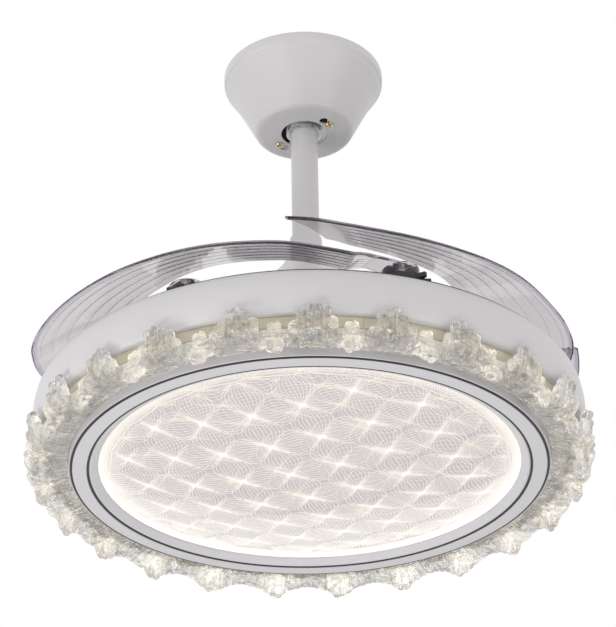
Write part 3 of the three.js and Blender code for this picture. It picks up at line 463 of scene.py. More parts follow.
# Down rod: drawn steel tube in the same white paint, cross-drilled for the ball's pin and for
# the coupling bolt. A ribbed zinc collar sits on it inside the ceiling cover's hole.
rod_low = lamp_face + 0.182
rod_top = (ball_height + 19) / 1000
rod_bore = 11.3
rod_radius = 13
rod_outline = rectangle(rod_bore, rod_radius, 0, 1000 * (rod_top - rod_low))
rod = turned("down_rod_tube", softened(rod_outline, 0.5), base=rod_low, turns=96)
pin_way = upright("drill", round_outline(3.5, sides=28), -20, 20, base=ceiling)
moved(pin_way, math.pi / 2, "X", to=(0, 0, ball_height))
bolt_way = upright("drill", round_outline(3.3, sides=28), -20, 20, base=ceiling)
moved(bolt_way, math.pi / 2, "Y", to=(0, 0, lamp_level + 194))
sharp_edges(worked(rod, [pin_way, bolt_way]))
finished(rod, white_paint, "stem", "white_paint", "down_rod")

collar_low = 371.0
collar_outline = [(13.3, collar_low), (15.6, collar_low)]
rib_pitch = 1.7
for rib in range(5):
    foot = collar_low + 0.4 + rib * rib_pitch
    collar_outline += [(16.5, foot), (17.4, foot + 0.35), (17.4, foot + 0.95), (16.5, foot + 1.3)]
collar_outline += [(16.4, 380), (13.3, 380)]
collar = turned("rod_collar_ring", softened(collar_outline, 0.25), turns=128)
notch_count = 12
notches = []
for notch in range(notch_count):
    cut = upright("notch", rectangle(16.8, 19, -1.1, 1.1), 370.5, 380.5)
    notches.append(moved(cut, 2 * math.pi * notch / notch_count))
sharp_edges(worked(collar, notches))
finished(collar, bright_zinc, "stem", "zinc_plate", "rod_collar")

# Coupling: a zinc-plated socket that takes the rod above and the motor shaft below, with a
# bolt through both, under a white spun bell that closes round the rod.
bell_side = [
    (15.2, 250), (15.25, 246), (15.6, 240), (16.5, 234), (18.4, 227.5), (21.5, 221.5), (25.6, 214.8),
    (31, 208), (37.5, 201), (44.5, 194.5), (51.5, 187.8), (58.5, 181), (64.5, 174.5), (69, 168.5),
    (71.4, 163.8), (72, 160),
]
bell_wall = 1.3
bell_outline = bell_side + [(radius - bell_wall, height) for radius, height in reversed(bell_side)]
bell = turned("coupling_bell", softened(bell_outline, 0.4), turns=160)
finished(bell, white_paint, "stem", "white_paint", "coupling_cover")
dressed(bright_zinc, "rod_coupling", "lamp_hanger")
dressed(bare_steel, "coupling_bolt", "motor_shaft", "shaft_nut", "lower_bearing", "upper_bearing")

# Motor: an outer rotor in two cast halves with satin black paint and short cooling ribs. The
# wound stator, the magnets and the two bearings are inside it.
black_paint = sprayed(
    "satin black paint", (0.022, 0.022, 0.024), 0.25, 800.0, 0.45, bump=(0.4, 0.0002),
    Coat_Weight=0.1,
)
core_steel = lathed("stacked steel", (0.3, 0.3, 0.32), 2400.0, 0.8, 0.4, bump=(0.6, 0.0002), Metallic=1.0)
dark_magnet = plated("dark magnet", (0.1, 0.1, 0.11), 900.0, 0.3, 0.4, bump=(0.3, 0.0001), Metallic=0.6)
copper_turns = lathed("copper turns", (0.55, 0.2, 0.08), 2600.0, 1.2, 0.3, bump=(1.0, 0.0004), Metallic=1.0)
geometry = {"Made": "Geometry"}
copies_round_axis, given = new_group(
    "Copies Round The Axis",
    "GeometryNodeTree",
    geometry,
    {"Unit": "Geometry", "Count": 4, "First Angle": 0.0, "Step Angle": 0.1, "Material": "Material"},
)
places = add_node(copies_round_axis, "GeometryNodeMeshLine", Count=given["Count"], Offset=(0, 0, 0))
number = add_node(copies_round_axis, "GeometryNodeInputIndex").outputs[0]
turn = sums(copies_round_axis, "MULTIPLY_ADD", number, given["Step Angle"], given["First Angle"])
spin = add_node(copies_round_axis, "ShaderNodeCombineXYZ", feeds=(0.0, 0.0, turn)).outputs[0]


def ended(group, made, material):
    """Ends a group that makes geometry, all in one material."""
    made = add_node(group, "GeometryNodeSetMaterial", Geometry=made.outputs[0], Material=material)
    add_node(group, "NodeGroupOutput", feeds=(made.outputs[0],))


def made_real(group, given, points, **settings):
    """Ends a group: the unit stands on every point, as real mesh."""
    copies = add_node(
        group, "GeometryNodeInstanceOnPoints", Points=points, Instance=given["Unit"], **settings
    )
    real = add_node(group, "GeometryNodeRealizeInstances", Geometry=copies.outputs[0])
    ended(group, real, given["Material"])


made_real(copies_round_axis, given, places.outputs[0], Rotation=spin)


def with_nodes(piece, group, **values):
    """Runs a geometry group on a piece and keeps the result as its plain mesh."""
    change = piece.modifiers.new("nodes", "NODES")
    change.node_group = group
    for item in group.interface.items_tree:
        title = item.name.replace(" ", "_")
        if item.in_out == "INPUT" and title in values:
            change[item.identifier] = values[title]
    return made_plain(piece)


def copied_round(piece, count, material, first=0.0):
    """Copies a piece evenly round the fan's axis."""
    step = 2 * math.pi / count
    return with_nodes(
        piece, copies_round_axis, Count=count, First_Angle=first, Step_Angle=step, Material=material
    )


motor_middle = lamp_face + 0.101
case_outline = [
    (12, 29.4), (21.6, 29.4), (22.6, 29.0), (26.7, 27), (42, 27), (43.2, 26.4), (74, 26.4),
    (82, 25.9), (85.6, 24.2), (87.4, 21.2), (88, 17), (88, 2.4), (87.5, 1.4), (87.5, 0.15),
    (84.8, 0.15), (84.8, 23.8), (22, 23.8), (22, 18), (17.3, 18), (17.3, 27), (12, 27),
]
cooling_ribs = 48
rib_plan = [(86.5, -1.3), (88.5, -1.2), (88.9, -0.7), (88.9, 0.7), (88.5, 1.2), (86.5, 1.3)]
for name, side in (("lower", -1), ("upper", 1)):
    outline = softened([(radius, side * height) for radius, height in case_outline], 0.4)
    case = turned(f"rotor_case_{name}", outline, base=motor_middle, turns=160)
    finished(case, black_paint, "rotor", "black_cast", f"rotor_{name}_cover")
    low, high = sorted((side * 4, side * 16.5))
    ribs = upright(f"rotor_ribs_{name}", rib_plan, low, high, base=motor_middle)
    copied_round(ribs, cooling_ribs, black_paint)
    finished(sharp_edges(ribs), black_paint, "rotor", "black_cast")
dressed(core_steel, "stator_core")
dressed(copper_turns, "stator_winding")
dressed(dark_magnet, "magnet_ring")

# Blade carrier: a pressed black plate on the rotor with four arms, a collar that the nylon
# ring gear floats on, and a keeper ring on top.
hinge_circle = 136.0
first_hinge = math.radians(-52)
arms = range(1, 5)
hinge_turns = {arm: first_hinge + (arm - 1) * math.pi / 2 for arm in arms}
pin_hole = 5.3
arm_root = 96
arm_half = 22
carrier_low = 128.3
carrier_high = 131.5
disc_outline = rectangle(30, 117, carrier_low, carrier_high)
disc = turned("blade_carrier_plate", softened(disc_outline, 0.6), turns=128)
joined = [turned("collar", softened(rectangle(84.2, 89.5, 129.6, 136.6), 0.5), turns=128)]
drilled = []
for turn in hinge_turns.values():
    plan = [(arm_root, -arm_half)]
    for step in range(25):
        x, y = ring_point(arm_half, -math.pi / 2 + math.pi * step / 24)
        plan.append((hinge_circle + x, y))
    plan.append((arm_root, arm_half))
    arm = upright("arm", plan, carrier_low + 0.02, carrier_high - 0.02)
    hole = upright("hole", round_outline(pin_hole, hinge_circle, 0, 32), carrier_low - 1, carrier_high + 1)
    joined.append(moved(arm, turn))
    drilled.append(moved(hole, turn))
worked(disc, joined, "UNION")
sharp_edges(worked(disc, drilled))
finished(disc, black_paint, "rotor", "black_cast", "blade_carrier")
keeper_outline = [(84.2, 136.9), (98, 136.9), (98, 137.9), (96.6, 138.5), (84.2, 138.5)]
keeper = turned("gear_keeper_ring", softened(keeper_outline, 0.3), turns=128)
finished(keeper, black_paint, "rotor", "black_paint", "gear_keeper")
dressed(dark_nylon, "ring_gear", *[f"blade_gear_{arm}" for arm in arms])

# Hinge pins and return springs: turned steel pins with a domed head, each with a coil of
# spring wire round its foot under the carrier's arm.


def wire_group(name, sides):
    """Makes round wire along lines, as thick as the points' own value says."""
    inputs = {"Lines": "Geometry", "Spacing": "Float", "Material": "Material"}
    group, given = new_group(name, "GeometryNodeTree", geometry, inputs)
    curve = add_node(group, "GeometryNodeMeshToCurve", Mesh=given["Lines"])
    smooth = add_node(
        group, "GeometryNodeCurveSplineType", Curve=curve.outputs[0], spline_type="CATMULL_ROM"
    )
    even = add_node(
        group, "GeometryNodeResampleCurve", mode="LENGTH", Curve=smooth.outputs[0], Length=given["Spacing"]
    )
    thick = add_node(group, "GeometryNodeInputNamedAttribute", data_type="FLOAT", Name="thick")
    profile = add_node(group, "GeometryNodeCurvePrimitiveCircle", Resolution=sides, Radius=1.0)
    wire = add_node(
        group,
        "GeometryNodeCurveToMesh",
        Curve=even.outputs[0],
        Profile_Curve=profile.outputs[0],
        Scale=thick.outputs[0],
        Fill_Caps=True,
    )
    shaded = add_node(group, "GeometryNodeSetShadeSmooth", Geometry=wire.outputs[0])
    ended(group, shaded, given["Material"])
    return group


round_wire = wire_group("Round Wire", 10)


def marked(mesh, name, values):
    """Gives every point of a mesh a value of its own."""
    mesh.attributes.new(name, "FLOAT", "POINT").data.foreach_set("value", values)


def line_piece(name, lines):
    """Loose lines for the wire group: each point is x, y, z and its thickness, in millimetres."""
    mesh = bpy.data.meshes.new(name)
    points = [point for line in lines for point in line]
    edges = []
    first = 0
    for line in lines:
        edges += [(first + index, first + index + 1) for index in range(len(line) - 1)]
        first += len(line)
    mesh.from_pydata([[part / 1000 for part in point[:3]] for point in points], edges, [])
    marked(mesh, "thick", [point[3] / 1000 for point in points])
    return in_scene(name, mesh)


def wired(name, lines, group, spacing, material):
    """Lines given thickness by a wire group, with a ring of points at every spacing."""
    return with_nodes(line_piece(name, lines), group, Spacing=spacing, Material=material)


pin_outline = [
    (0, 114.3), (8.0, 114.3), (8.6, 114.9), (8.6, 116.3), (5, 116.3), (5, 148.6), (9, 148.6), (9, 149.2),
    (8.4, 150.2), (6.6, 150.9), (3.6, 151.2), (0, 151.2),
]
bright_pin = lathed(
    "bright steel pin", (0.9, 0.9, 0.91), 1800.0, 0.15, 0.2, bump=(0.2, 0.0001), Metallic=1.0
)
pins = turned("blade_hinge_pins", softened(pin_outline, 0.3), turns=40)
copied_round(moved(pins, to=(hinge_circle, 0, 0)), 4, bright_pin, first_hinge)
finished(sharp_edges(pins), bright_pin, "rotor", "bare_steel", *[f"hinge_pin_{arm}" for arm in arms])
spring_turns = 5.5
spring_foot = 117.35
spring_rise = 8.2
spring_radius = 6.9
wire_radius = 0.65
wire_width = 1.1
coil_steps = 132
lying = 0.12  # the share of the wire that lies flat at each end
coil = []
for step in range(coil_steps + 1):
    share = step / coil_steps
    rise = min(max((share - lying) / (1 - 2 * lying), 0), 1)
    foot = wire_width * min(share / lying, 1) * 0.5
    head = wire_width * max(share - (1 - lying), 0) / (2 * lying)
    height = lamp_level + spring_foot + spring_rise * rise + foot + head
    x, y = ring_point(spring_radius, 2 * math.pi * spring_turns * share)
    coil.append((hinge_circle + x, y, height, wire_radius))
springs = wired("blade_return_springs", [coil], round_wire, 0.0011, bare_steel)
copied_round(springs, 4, bare_steel, first_hinge)
finished(springs, bare_steel, "rotor", "bare_steel", *[f"blade_spring_{arm}" for arm in arms])

# Blades: four sheets of smoky lilac acrylic, warmed and pressed so that they sweep down from
# the hinge and round over the drum. Ribs fan out from the root and a bead stiffens the edge.
clear_plastic, given, place = new_effect(
    "Clear Plastic",
    Colour=(0.9, 0.9, 0.9, 1),
    Edge_Colour=(0.5, 0.5, 0.5, 1),
    Wave_Size=30.0,
    Roughness=0.03,
)
smears = noise(clear_plastic, place, 45.0, 5.0, 0.7)
edge = add_node(clear_plastic, "ShaderNodeAttribute", attribute_name="edge").outputs["Fac"]
add_node(
    clear_plastic,
    "NodeGroupOutput",
    Colour=mixed(clear_plastic, edge, given["Colour"], given["Edge Colour"]),
    Roughness=sums(clear_plastic, "MULTIPLY_ADD", smears, 0.05, given["Roughness"]),
    Height=noise(clear_plastic, place, given["Wave Size"], 1.0),
)
clear = finish_of(clear_plastic, "Edge Colour", "Wave Size", "Roughness")
smoky_acrylic = clear(
    "smoky lilac acrylic", (0.66, 0.635, 0.65), (0.5, 0.45, 0.54, 1), 18.0, 0.04, bump=(0.05, 0.001),
    Transmission_Weight=0.95, IOR=1.18,
)
blade_rows = [
    # turn at the outer and inner edge, reach of both past the hinge circle, drop, tilt
    (-0.02, -0.02, 0.12, -0.11, 0, 0),
    (0.07, 0.07, 0.1, -0.1, 0, 0),
    (0.11, 0.11, 0.13, -0.09, 0.05, 0.1),
    (0.158, 0.158, 0.28, -0.055, 0.271, 0.2),
    (0.188, 0.188, 0.43, -0.005, 0.511, 0.29),
    (0.218, 0.218, 0.58, 0.055, 0.706, 0.36),
    (0.263, 0.263, 0.73, 0.105, 0.859, 0.4),
    (0.316, 0.316, 0.865, 0.135, 0.946, 0.415),
    (0.383, 0.383, 0.94, 0.148, 0.973, 0.42),
    (0.451, 0.451, 0.955, 0.162, 0.929, 0.42),
    (0.526, 0.526, 0.945, 0.185, 0.87, 0.425),
    (0.602, 0.602, 0.975, 0.22, 0.88, 0.43),
    (0.677, 0.677, 1.02, 0.265, 0.951, 0.435),
    (0.752, 0.752, 1.04, 0.3, 0.973, 0.44),
    (0.85, 0.845, 1.035, 0.3, 0.913, 0.44),
    (0.91, 0.88, 1.005, 0.285, 0.799, 0.42),
    (0.955, 0.905, 0.99, 0.27, 0.695, 0.4),
    (1, 0.925, 0.965, 0.26, 0.609, 0.38),
]
blade_wall = 2.2
blade_root = 146.1  # height of the root's lower skin over the lamp's face
blade_reach = 116
blade_sweep = math.radians(132)
blade_drop = 51.5
row_gap = 22  # from one row to the next near the tip
bead_width = 4.6
rib_half = 1.3
edge_round = 1.1
full_width = 60  # a narrower row has its ribs, bead and edges narrowed too
ribs_start = 1.6  # rows of the table where the ribs fade in and out
ribs_end = 15.2
darker_tip = 3.5  # widths of the darker colour at the tip, the inner edge and the bead
darker_inner = 2.4
darker_bead = 3.4
rib_shares = (0.14, 0.30, 0.46, 0.62, 0.78, 0.9)


def between_rows(at):
    """The blade's row at a place between two of the given ones, on a smooth curve."""
    index = min(int(at), len(blade_rows) - 2)
    t = at - index
    around = [blade_rows[min(max(index + step, 0), len(blade_rows) - 1)] for step in (-1, 0, 1, 2)]
    return [
        0.5 * (2 * b + (c - a) * t + (2 * a - 5 * b + 4 * c - d) * t * t + (3 * b - a - 3 * c + d) * t**3)
        for a, b, c, d in zip(*around)
    ]


across = [(0, 0), (0, 0.2), (0, 0.6), (0, 1.1), (0, 2.2), (0.07, 0)]
for index, share in enumerate(rib_shares):
    across += [(share, offset) for offset in (-rib_half, -0.8, -0.4, 0, 0.4, 0.8, rib_half)]
    if index + 1 < len(rib_shares):
        across.append(((share + rib_shares[index + 1]) / 2, 0))
across += [(1, -bead_width), (1, -3.6), (1, -2.4), (1, -1.1), (1, -0.6), (1, -0.2), (1, 0)]
last_row = len(blade_rows) - 1
along = [0, 0.03, 0.09, 0.17] + [0.3 + (last_row - 0.45) * step / 130 for step in range(131)]
along += [last_row - 0.09, last_row - 0.05, last_row - 0.02, last_row]
under = []
over = []
edges = []
for at in along:
    outer_turn, inner_turn, outer_share, inner_share, drop, tilt = between_rows(at)
    outer = hinge_circle + blade_reach * outer_share
    inner = hinge_circle + blade_reach * inner_share
    width = outer - inner
    narrow = min(1, width / full_width)
    fade = min(max((at - ribs_start) / 1.2, 0), 1) * min(max((ribs_end - at) / 0.5, 0), 1)
    tip_distance = (last_row - at) * row_gap
    end = min(tip_distance, at * 12, edge_round)
    for share, offset in across:
        share += offset * narrow / width
        radius = inner + width * share
        angle = -blade_sweep * (inner_turn + (outer_turn - inner_turn) * share)
        out_distance = (1 - share) * width / narrow
        edge_in = min(share * width / narrow, edge_round)
        edge_out = min(out_distance, edge_round)
        thin = min(edge_in, edge_out, end) / edge_round
        half = 0.5 * blade_wall * (0.12 + 0.88 * math.sqrt(max(1 - (1 - thin) ** 2, 0)))
        bead = math.sin(math.pi * min(out_distance / bead_width, 1)) if out_distance < bead_width else 0
        near_rib = min(abs(share - rib) * width / narrow for rib in rib_shares)
        rib = math.cos(0.5 * math.pi * min(near_rib / rib_half, 1)) ** 2 if near_rib < rib_half else 0
        middle = blade_root - blade_drop * drop + tilt * (outer - radius) + 0.5 * blade_wall
        x, y = ring_point(radius, angle)
        low = middle - half - 0.8 * bead
        high = middle + half + 1.0 * bead + 0.2 * rib * fade
        for skin, height in ((under, low), (over, high)):
            skin.append((x / 1000, y / 1000, lamp_face + height / 1000))
        # The edge value darkens the colour at the bead, the tip and the inner edge, and along each rib it
        # is painted shade for the dark line that refraction draws there.
        edges.append(
            max(
                1 - max(out_distance - darker_bead, 0) / 1.2 if out_distance < bead_width else 0,
                max(1 - tip_distance / darker_tip, 0),
                0.6 * max(1 - share * width / darker_inner, 0),
                0.55 * rib * fade,
            )
        )
rows = len(along)
columns = len(across)
count = rows * columns
faces = []
for row in range(rows - 1):
    for column in range(columns - 1):
        here = row * columns + column
        faces.append([here, here + 1, here + columns + 1, here + columns])
        faces.append([count + here, count + here + columns, count + here + columns + 1, count + here + 1])
rim = [row * columns for row in range(rows)]
rim += [(rows - 1) * columns + column for column in range(1, columns)]
rim += [row * columns + columns - 1 for row in range(rows - 2, -1, -1)]
rim += list(range(columns - 2, 0, -1))
for index, here in enumerate(rim):
    after = rim[(index + 1) % len(rim)]
    faces.append([here, after, count + after, count + here])
sheet = solid_piece("blade_sheet", under + over, faces)


def turned_copy(piece, name, turn):
    """A copy of a piece, turned round the fan's axis."""
    return moved(in_scene(name, piece.data.copy()), turn)


marked(sheet.data, "edge", edges + edges)
boss_radius = 17
boss_outline = rectangle(0, boss_radius, 136.6, blade_root + blade_wall)
boss = moved(turned("boss", softened(boss_outline, 0.9), turns=64), to=(hinge_circle, 0, 0))
pin_way = upright("pin_way", round_outline(pin_hole, hinge_circle, 0, 32), 130, 160)
worked(sheet, [boss], "UNION")
worked(sheet, [pin_way])
sharp_edges(sheet, 50)
for arm in arms:
    blade = turned_copy(sheet, f"blade_sheet_{arm}", hinge_turns[arm])
    finished(blade, smoky_acrylic, f"blade_{arm}_arm", "smoke_acrylic", f"blade_{arm}")
bpy.data.objects.remove(sheet)

# Drum: a rolled steel shell in the warm-white paint with both rims turned in, closed above by
# a black pressed sheet and below by a plain ring.
drum_outline = [
    (236, 25), (243.2, 25), (244.9, 25.3), (246.1, 26.3), (247.2, 28.8), (248.3, 32.1), (249.2, 36.5),
    (249.8, 40.8), (250, 45.7), (249.9, 50.1), (249.4, 55), (248.6, 59.4), (247.5, 62.7), (246, 65),
    (244.2, 66.2), (242.4, 66.5), (231.5, 66.5), (231.5, 65.1), (242, 65.1), (243.6, 64.7), (245.2, 63.4),
    (246.4, 61.1), (247.3, 58.3), (248, 53.4), (248.6, 45.7), (248.4, 41.4), (247.6, 34.8), (246.2, 29.4),
    (244.6, 26.8), (243, 26.4), (236, 26.4),
]
drum = turned("drum_case", drum_outline, turns=256)
finished(sharp_edges(drum, 50), white_paint, "stem", "white_paint", "drum_shell")
black_sheet = sprayed("black moulded sheet", (0.026, 0.026, 0.027), 0.3, 1300.0, 0.55, bump=(0.7, 0.0003))
top_outline = [
    (26, 66.8), (242.7, 66.8), (242.7, 67.9), (226, 67.9), (224.5, 69.1), (218, 69.1), (216.5, 67.8),
    (148, 67.8), (146.6, 69.2), (138, 69.2), (136.6, 67.8), (62, 67.8), (60.6, 69.2), (54, 69.2),
    (52.6, 67.8), (26, 67.8),
]
drum_top = turned("drum_top_sheet", softened(top_outline, 0.6), turns=192)
moved(drum_top, to=(0.75, -0.3, 0))
finished(sharp_edges(drum_top, 50), black_sheet, "stem", "black_moulding", "drum_top")
case_plastic = sprayed("white case plastic", (0.74, 0.74, 0.72), 0.05, 1100.0, 0.48, bump=(0.5, 0.0002))
dressed(bright_zinc, "drum_floor")

# Control boxes: the lamp's driver and the remote receiver, moulded cases with cooling slots
# and two screw wells, side by side on the lamp pan.
box_offset = 78
box_corner = 5
for name, side, node in (("driver_case", 1, "lamp_driver"), ("receiver_case", -1, "remote_receiver")):
    box_middle = side * box_offset
    corners = []
    for x, y, first in ((50, 18, 0), (-50, 18, 90), (-50, -18, 180), (50, -18, 270)):
        for step in range(9):
            along_x, along_y = ring_point(box_corner, math.radians(first + 90 * step / 8))
            corners.append((x + along_x, box_middle + y + along_y))
    box = upright(name, corners, 37.3, 55.3)
    cuts = []
    for x in range(-36, 37, 6):
        cooling_slot = rectangle(x - 1.2, x + 1.2, box_middle - 11, box_middle + 11)
        cuts.append(upright("cooling_slot", cooling_slot, 54.1, 56.3))
    for x, y in ((46, 14), (-46, -14)):
        cuts.append(upright("screw_well", round_outline(3.2, x, box_middle + y, 24), 53.7, 56.3))
    worked(box, cuts)
    bevel = box.modifiers.new("bevel", "BEVEL")
    bevel.width = 0.0006
    bevel.segments = 2
    bevel.limit_method = "ANGLE"
    made_plain(box)
    finished(sharp_edges(box), case_plastic, "stem", "case_white", node)

# Lamp pan and back plate: a spun aluminium dish in white paint, with a polished white sheet
# across it that mirrors the lit cover. The sheet also has a painted glow, faint all over and
# warm and strong towards its rim, for the edge strip's light falling on it.
white_pan = sprayed("white pan paint", (0.7, 0.69, 0.67), 0.04, 900.0, 0.4, bump=(0.25, 0.0001))
pan_outline = [
    (0, 37), (200, 37), (204, 36.8), (206.6, 36), (208.5, 34.4), (209.5, 32), (209.5, 3.3), (208.3, 3.3),
    (208.3, 31.8), (207.4, 33.7), (205.8, 35), (203.6, 35.6), (200, 35.8), (0, 35.8),
]
pan = turned("lamp_dish", pan_outline, turns=192)
finished(sharp_edges(pan, 60), white_pan, "stem", "white_aluminium", "lamp_pan")
glow_painted_white = sprayed(
    "polished white sheet", (0.62, 0.59, 0.6), 0.05, 60.0, 0.2, bump=(0.02, 0.0001),
    Emission_Strength=1.0,
)


def painted_glow(material, share, low, high):
    """Paints a glow on the material: its own light goes from the low colour to the high one with the share.
    """
    tree = material.node_tree
    put(tree, tree.nodes["Principled BSDF"].inputs["Emission Color"], mixed(tree, share, low, high))


# Painted light: the plate's glow rises towards its rim, where the edge strip's light falls.
tree = glow_painted_white.node_tree
place = add_node(tree, "ShaderNodeTexCoord").outputs["Object"]
flat_place = add_node(tree, "ShaderNodeVectorMath", feeds=(place, (1, 1, 0)), operation="MULTIPLY")
far_out = add_node(
    tree, "ShaderNodeVectorMath", feeds=(flat_place.outputs[0],), operation="LENGTH"
).outputs["Value"]
strip_glow_share = add_node(
    tree, "ShaderNodeMapRange", interpolation_type="SMOOTHSTEP", feeds=(far_out, 0.163, 0.198, 0.0, 1.0)
).outputs[0]
painted_glow(glow_painted_white, strip_glow_share, (0.25, 0.222, 0.222, 1), (0.85, 0.8, 0.7, 1))
plate_outline = [(0, 12.5), (207.4, 12.5), (208, 13), (208, 14), (207.4, 14.5), (0, 14.5)]
plate = turned("mirror_plate", plate_outline, turns=192)
finished(sharp_edges(plate), glow_painted_white, "stem", "white_reflector", "back_plate")

# Pattern dome: a clear cover that bellies down from the trim ring's lip. Fine curves are
# engraved from star to star over it, and they light up from the strip at its rim. Their light
# on the back plate is painted there as a second, fainter set of glowing lines and stars.
clear_acrylic = clear(
    "clear acrylic", (0.97, 0.97, 0.97), (0.97, 0.97, 0.97, 1), 8.0, 0.0, bump=(0.05, 0.0005),
    Transmission_Weight=1.0, IOR=1.49,
)
dome_radius = 188.8
dome_seat = 7.5
dome_sag = 28.4
dome_wall = 2


def dome_foot(radius):
    """The height of the dome's lower skin above the lamp's face."""
    return dome_seat - dome_sag * (1 - (radius / dome_radius) ** 2)


under_side = [(dome_radius * step / 40, dome_foot(dome_radius * step / 40)) for step in range(41)]
dome_outline = under_side + [(191.3, dome_seat), (191.3, dome_seat + dome_wall)]
dome_outline += [(radius, height + dome_wall) for radius, height in reversed(under_side)]
dome = turned("clear_dome", dome_outline, turns=192)
finished(sharp_edges(dome, 60), clear_acrylic, "stem", "clear_acrylic", "pattern_dome")


def lit(name, colour, clouds, peel, light, strength):
    """A finish that gives light of its own."""
    return sprayed(
        name, colour, clouds, peel, 0.5, bump=(0.2, 0.0001),
        Emission_Color=(*light, 1), Emission_Strength=strength,
    )


lit_engraving = lit("lit engraving", (0.5, 0.48, 0.45), 0.1, 2000.0, (0.86, 0.82, 0.75), 0.8)
lit_star = lit("lit star", (0.7, 0.68, 0.62), 0.1, 2000.0, (1.0, 0.97, 0.88), 0.9)
# The lit spot finish paints the engravings' light where it falls on the back plate.
lit_spot = lit("lit spot", (0.7, 0.66, 0.6), 0.1, 2000.0, (1.0, 0.94, 0.82), 0.55)
star_pitch = 45.62
star_turn = math.radians(-20.16)
star_first = Vector((-20.91, -184.55))
star_ways = ((math.cos(star_turn), math.sin(star_turn)), (-math.sin(star_turn), math.cos(star_turn)))
star_steps = [Vector(way) * star_pitch for way in star_ways]
pattern_radius = 178.0
bundle_half = 0.41 * star_pitch
line_sink = 0.1
line_half = 0.19
rim_half = 0.35
thrown_half = 0.17
strands = []
stars = []
for i in range(-8, 9):
    for j in range(-3, 12):
        here = star_first + i * star_steps[0] + j * star_steps[1]
        if here.length < pattern_radius:
            stars.append(here)
        for step, other in (star_steps, star_steps[::-1]):
            across_way = other.normalized()
            for strand in range(-5, 6):
                line = []
                for part in range(17):
                    t = part / 16
                    swell = math.sin(math.pi * t)
                    point = here + step * t + across_way * (bundle_half * strand / 5 * swell)
                    if point.length < pattern_radius:
                        height = lamp_level + dome_foot(point.length) - line_sink
                        line.append((*point, height, line_half))
                    elif line:
                        break
                if len(line) > 1:
                    strands.append(line)
fine_wire = wire_group("Engraved Lines", 3)
line_spacing = 0.004
engraving = wired("engraved_pattern", strands, fine_wire, line_spacing, lit_engraving)
finished(engraving, lit_engraving, "stem", "clear_acrylic")
rim_steps = 96
rim_lines = []
for radius, scallop in ((180.2, 1.6), (188.2, 0)):
    line = []
    for step in range(rim_steps + 1):
        out = radius - (scallop if step % 4 else 0) * math.sin(math.pi * (step % 4) / 4)
        height = lamp_level + dome_foot(out) - line_sink
        line.append((*ring_point(out, 2 * math.pi * step / rim_steps), height, rim_half))
    rim_lines.append(line)
rim_line = wired("engraved_rim", rim_lines, fine_wire, line_spacing, lit_engraving)
finished(rim_line, lit_engraving, "stem", "clear_acrylic")
points_round = []
for point in range(16):
    reach = (3.0, 0.8, 1.9, 0.8)[point % 4]
    points_round.append(ring_point(reach, star_turn + 2 * math.pi * point / 16))
units_on_points, given = new_group(
    "Units On Points",
    "GeometryNodeTree",
    geometry,
    {"Unit": "Geometry", "Points": "Object", "Material": "Material"},
)
points = add_node(units_on_points, "GeometryNodeObjectInfo", Object=given["Points"]).outputs["Geometry"]
made_real(units_on_points, given, points)


def scattered(unit, places, material, slot):
    """Sets a flat unit on every place and makes them one finished piece of the lamp."""
    points = line_piece("places", places)
    with_nodes(unit, units_on_points, Points=points, Material=material)
    bpy.data.objects.remove(points)
    return finished(unit, material, "stem", slot)


def on_dome(here):
    """A place on the dome's lower skin, as a point of a line."""
    return (*here, lamp_level + dome_foot(Vector(here).length), 0)


star = upright("engraved_stars", points_round, -0.3, 0.1, base=ceiling)
scattered(star, [[on_dome(here)] for here in stars], lit_star, "clear_acrylic")
plate_level = lamp_level + 12.3
light_slant = 1.82
plate_edge = 200


def thrown_light(line, thickness):
    """The part of an engraved line's slanting light that lands on the plate, where it is painted as a
    glowing line.
    """
    landed = []
    for point in line:
        spot = Vector((point[0], point[1] - light_slant * (plate_level - point[2])))
        if spot.length < plate_edge:
            landed.append((*spot, plate_level, thickness))
    return landed


spot_lines = [thrown_light(strand, thrown_half) for strand in strands[::2]]
spot_lines = [line for line in spot_lines if len(line) > 1]
spot_line = wired("thrown_lines", spot_lines, fine_wire, line_spacing, lit_spot)
finished(spot_line, lit_spot, "stem", "white_reflector")
spot = upright("thrown_stars", points_round, -0.3, 0.1, base=ceiling)
scattered(spot, [thrown_light([on_dome(here) for here in stars], 0)], lit_spot, "white_reflector")
dot = upright("engraved_dots", round_outline(0.55, sides=6), -0.2, 0.1, base=ceiling)
dots_round = 420
dot_places = []
for row, radius in enumerate((181.9, 183.5, 185.1, 186.7)):
    for number in range(dots_round):
        turn = 2 * math.pi * (number + 0.5 * (row % 2)) / dots_round
        dot_places.append([(*ring_point(radius, turn), lamp_level + dome_foot(radius), 0)])
scattered(dot, dot_places, lit_engraving, "clear_acrylic")

# Light strips: flexible boards with small lamps along them, one standing on the dome's
# flange to light its rim, one round the pan's wall to light the crystals.
lit_board = lit("lit board", (0.8, 0.76, 0.68), 0.05, 900.0, (1.0, 0.93, 0.82), 2.2)
lit_halo = lit("lit halo board", (0.75, 0.7, 0.6), 0.05, 900.0, (1.0, 0.92, 0.76), 0.36)
strips = (
    # name, node, board's material, its inner and outer radius and its heights,
    # then the number of lamps, their radii and their heights
    ("edge_strip", "edge_light_strip", lit_board, 189.9, 191.3, 9.8, 12.2, 150, 189.7, 190.1, 10.2, 11.8),
    ("halo_strip", "halo_light_strip", lit_halo, 209.8, 211.0, 18.4, 26.4, 144, 210.9, 211.4, 20.8, 24.0),
)
for name, node, finish, inner, outer, low, high, lamps, lamp_in, lamp_out, lamp_low, lamp_high in strips:
    board = turned(name, softened(rectangle(inner, outer, low, high), 0.2))
    finished(sharp_edges(board), finish, "stem", "warm_board", node)
    chips = upright(f"{name}_lamps", rectangle(lamp_in, lamp_out, -1.6, 1.6), lamp_low, lamp_high)
    copied_round(chips, lamps, lit_board)
    finished(sharp_edges(chips), lit_board, "stem", "warm_board")
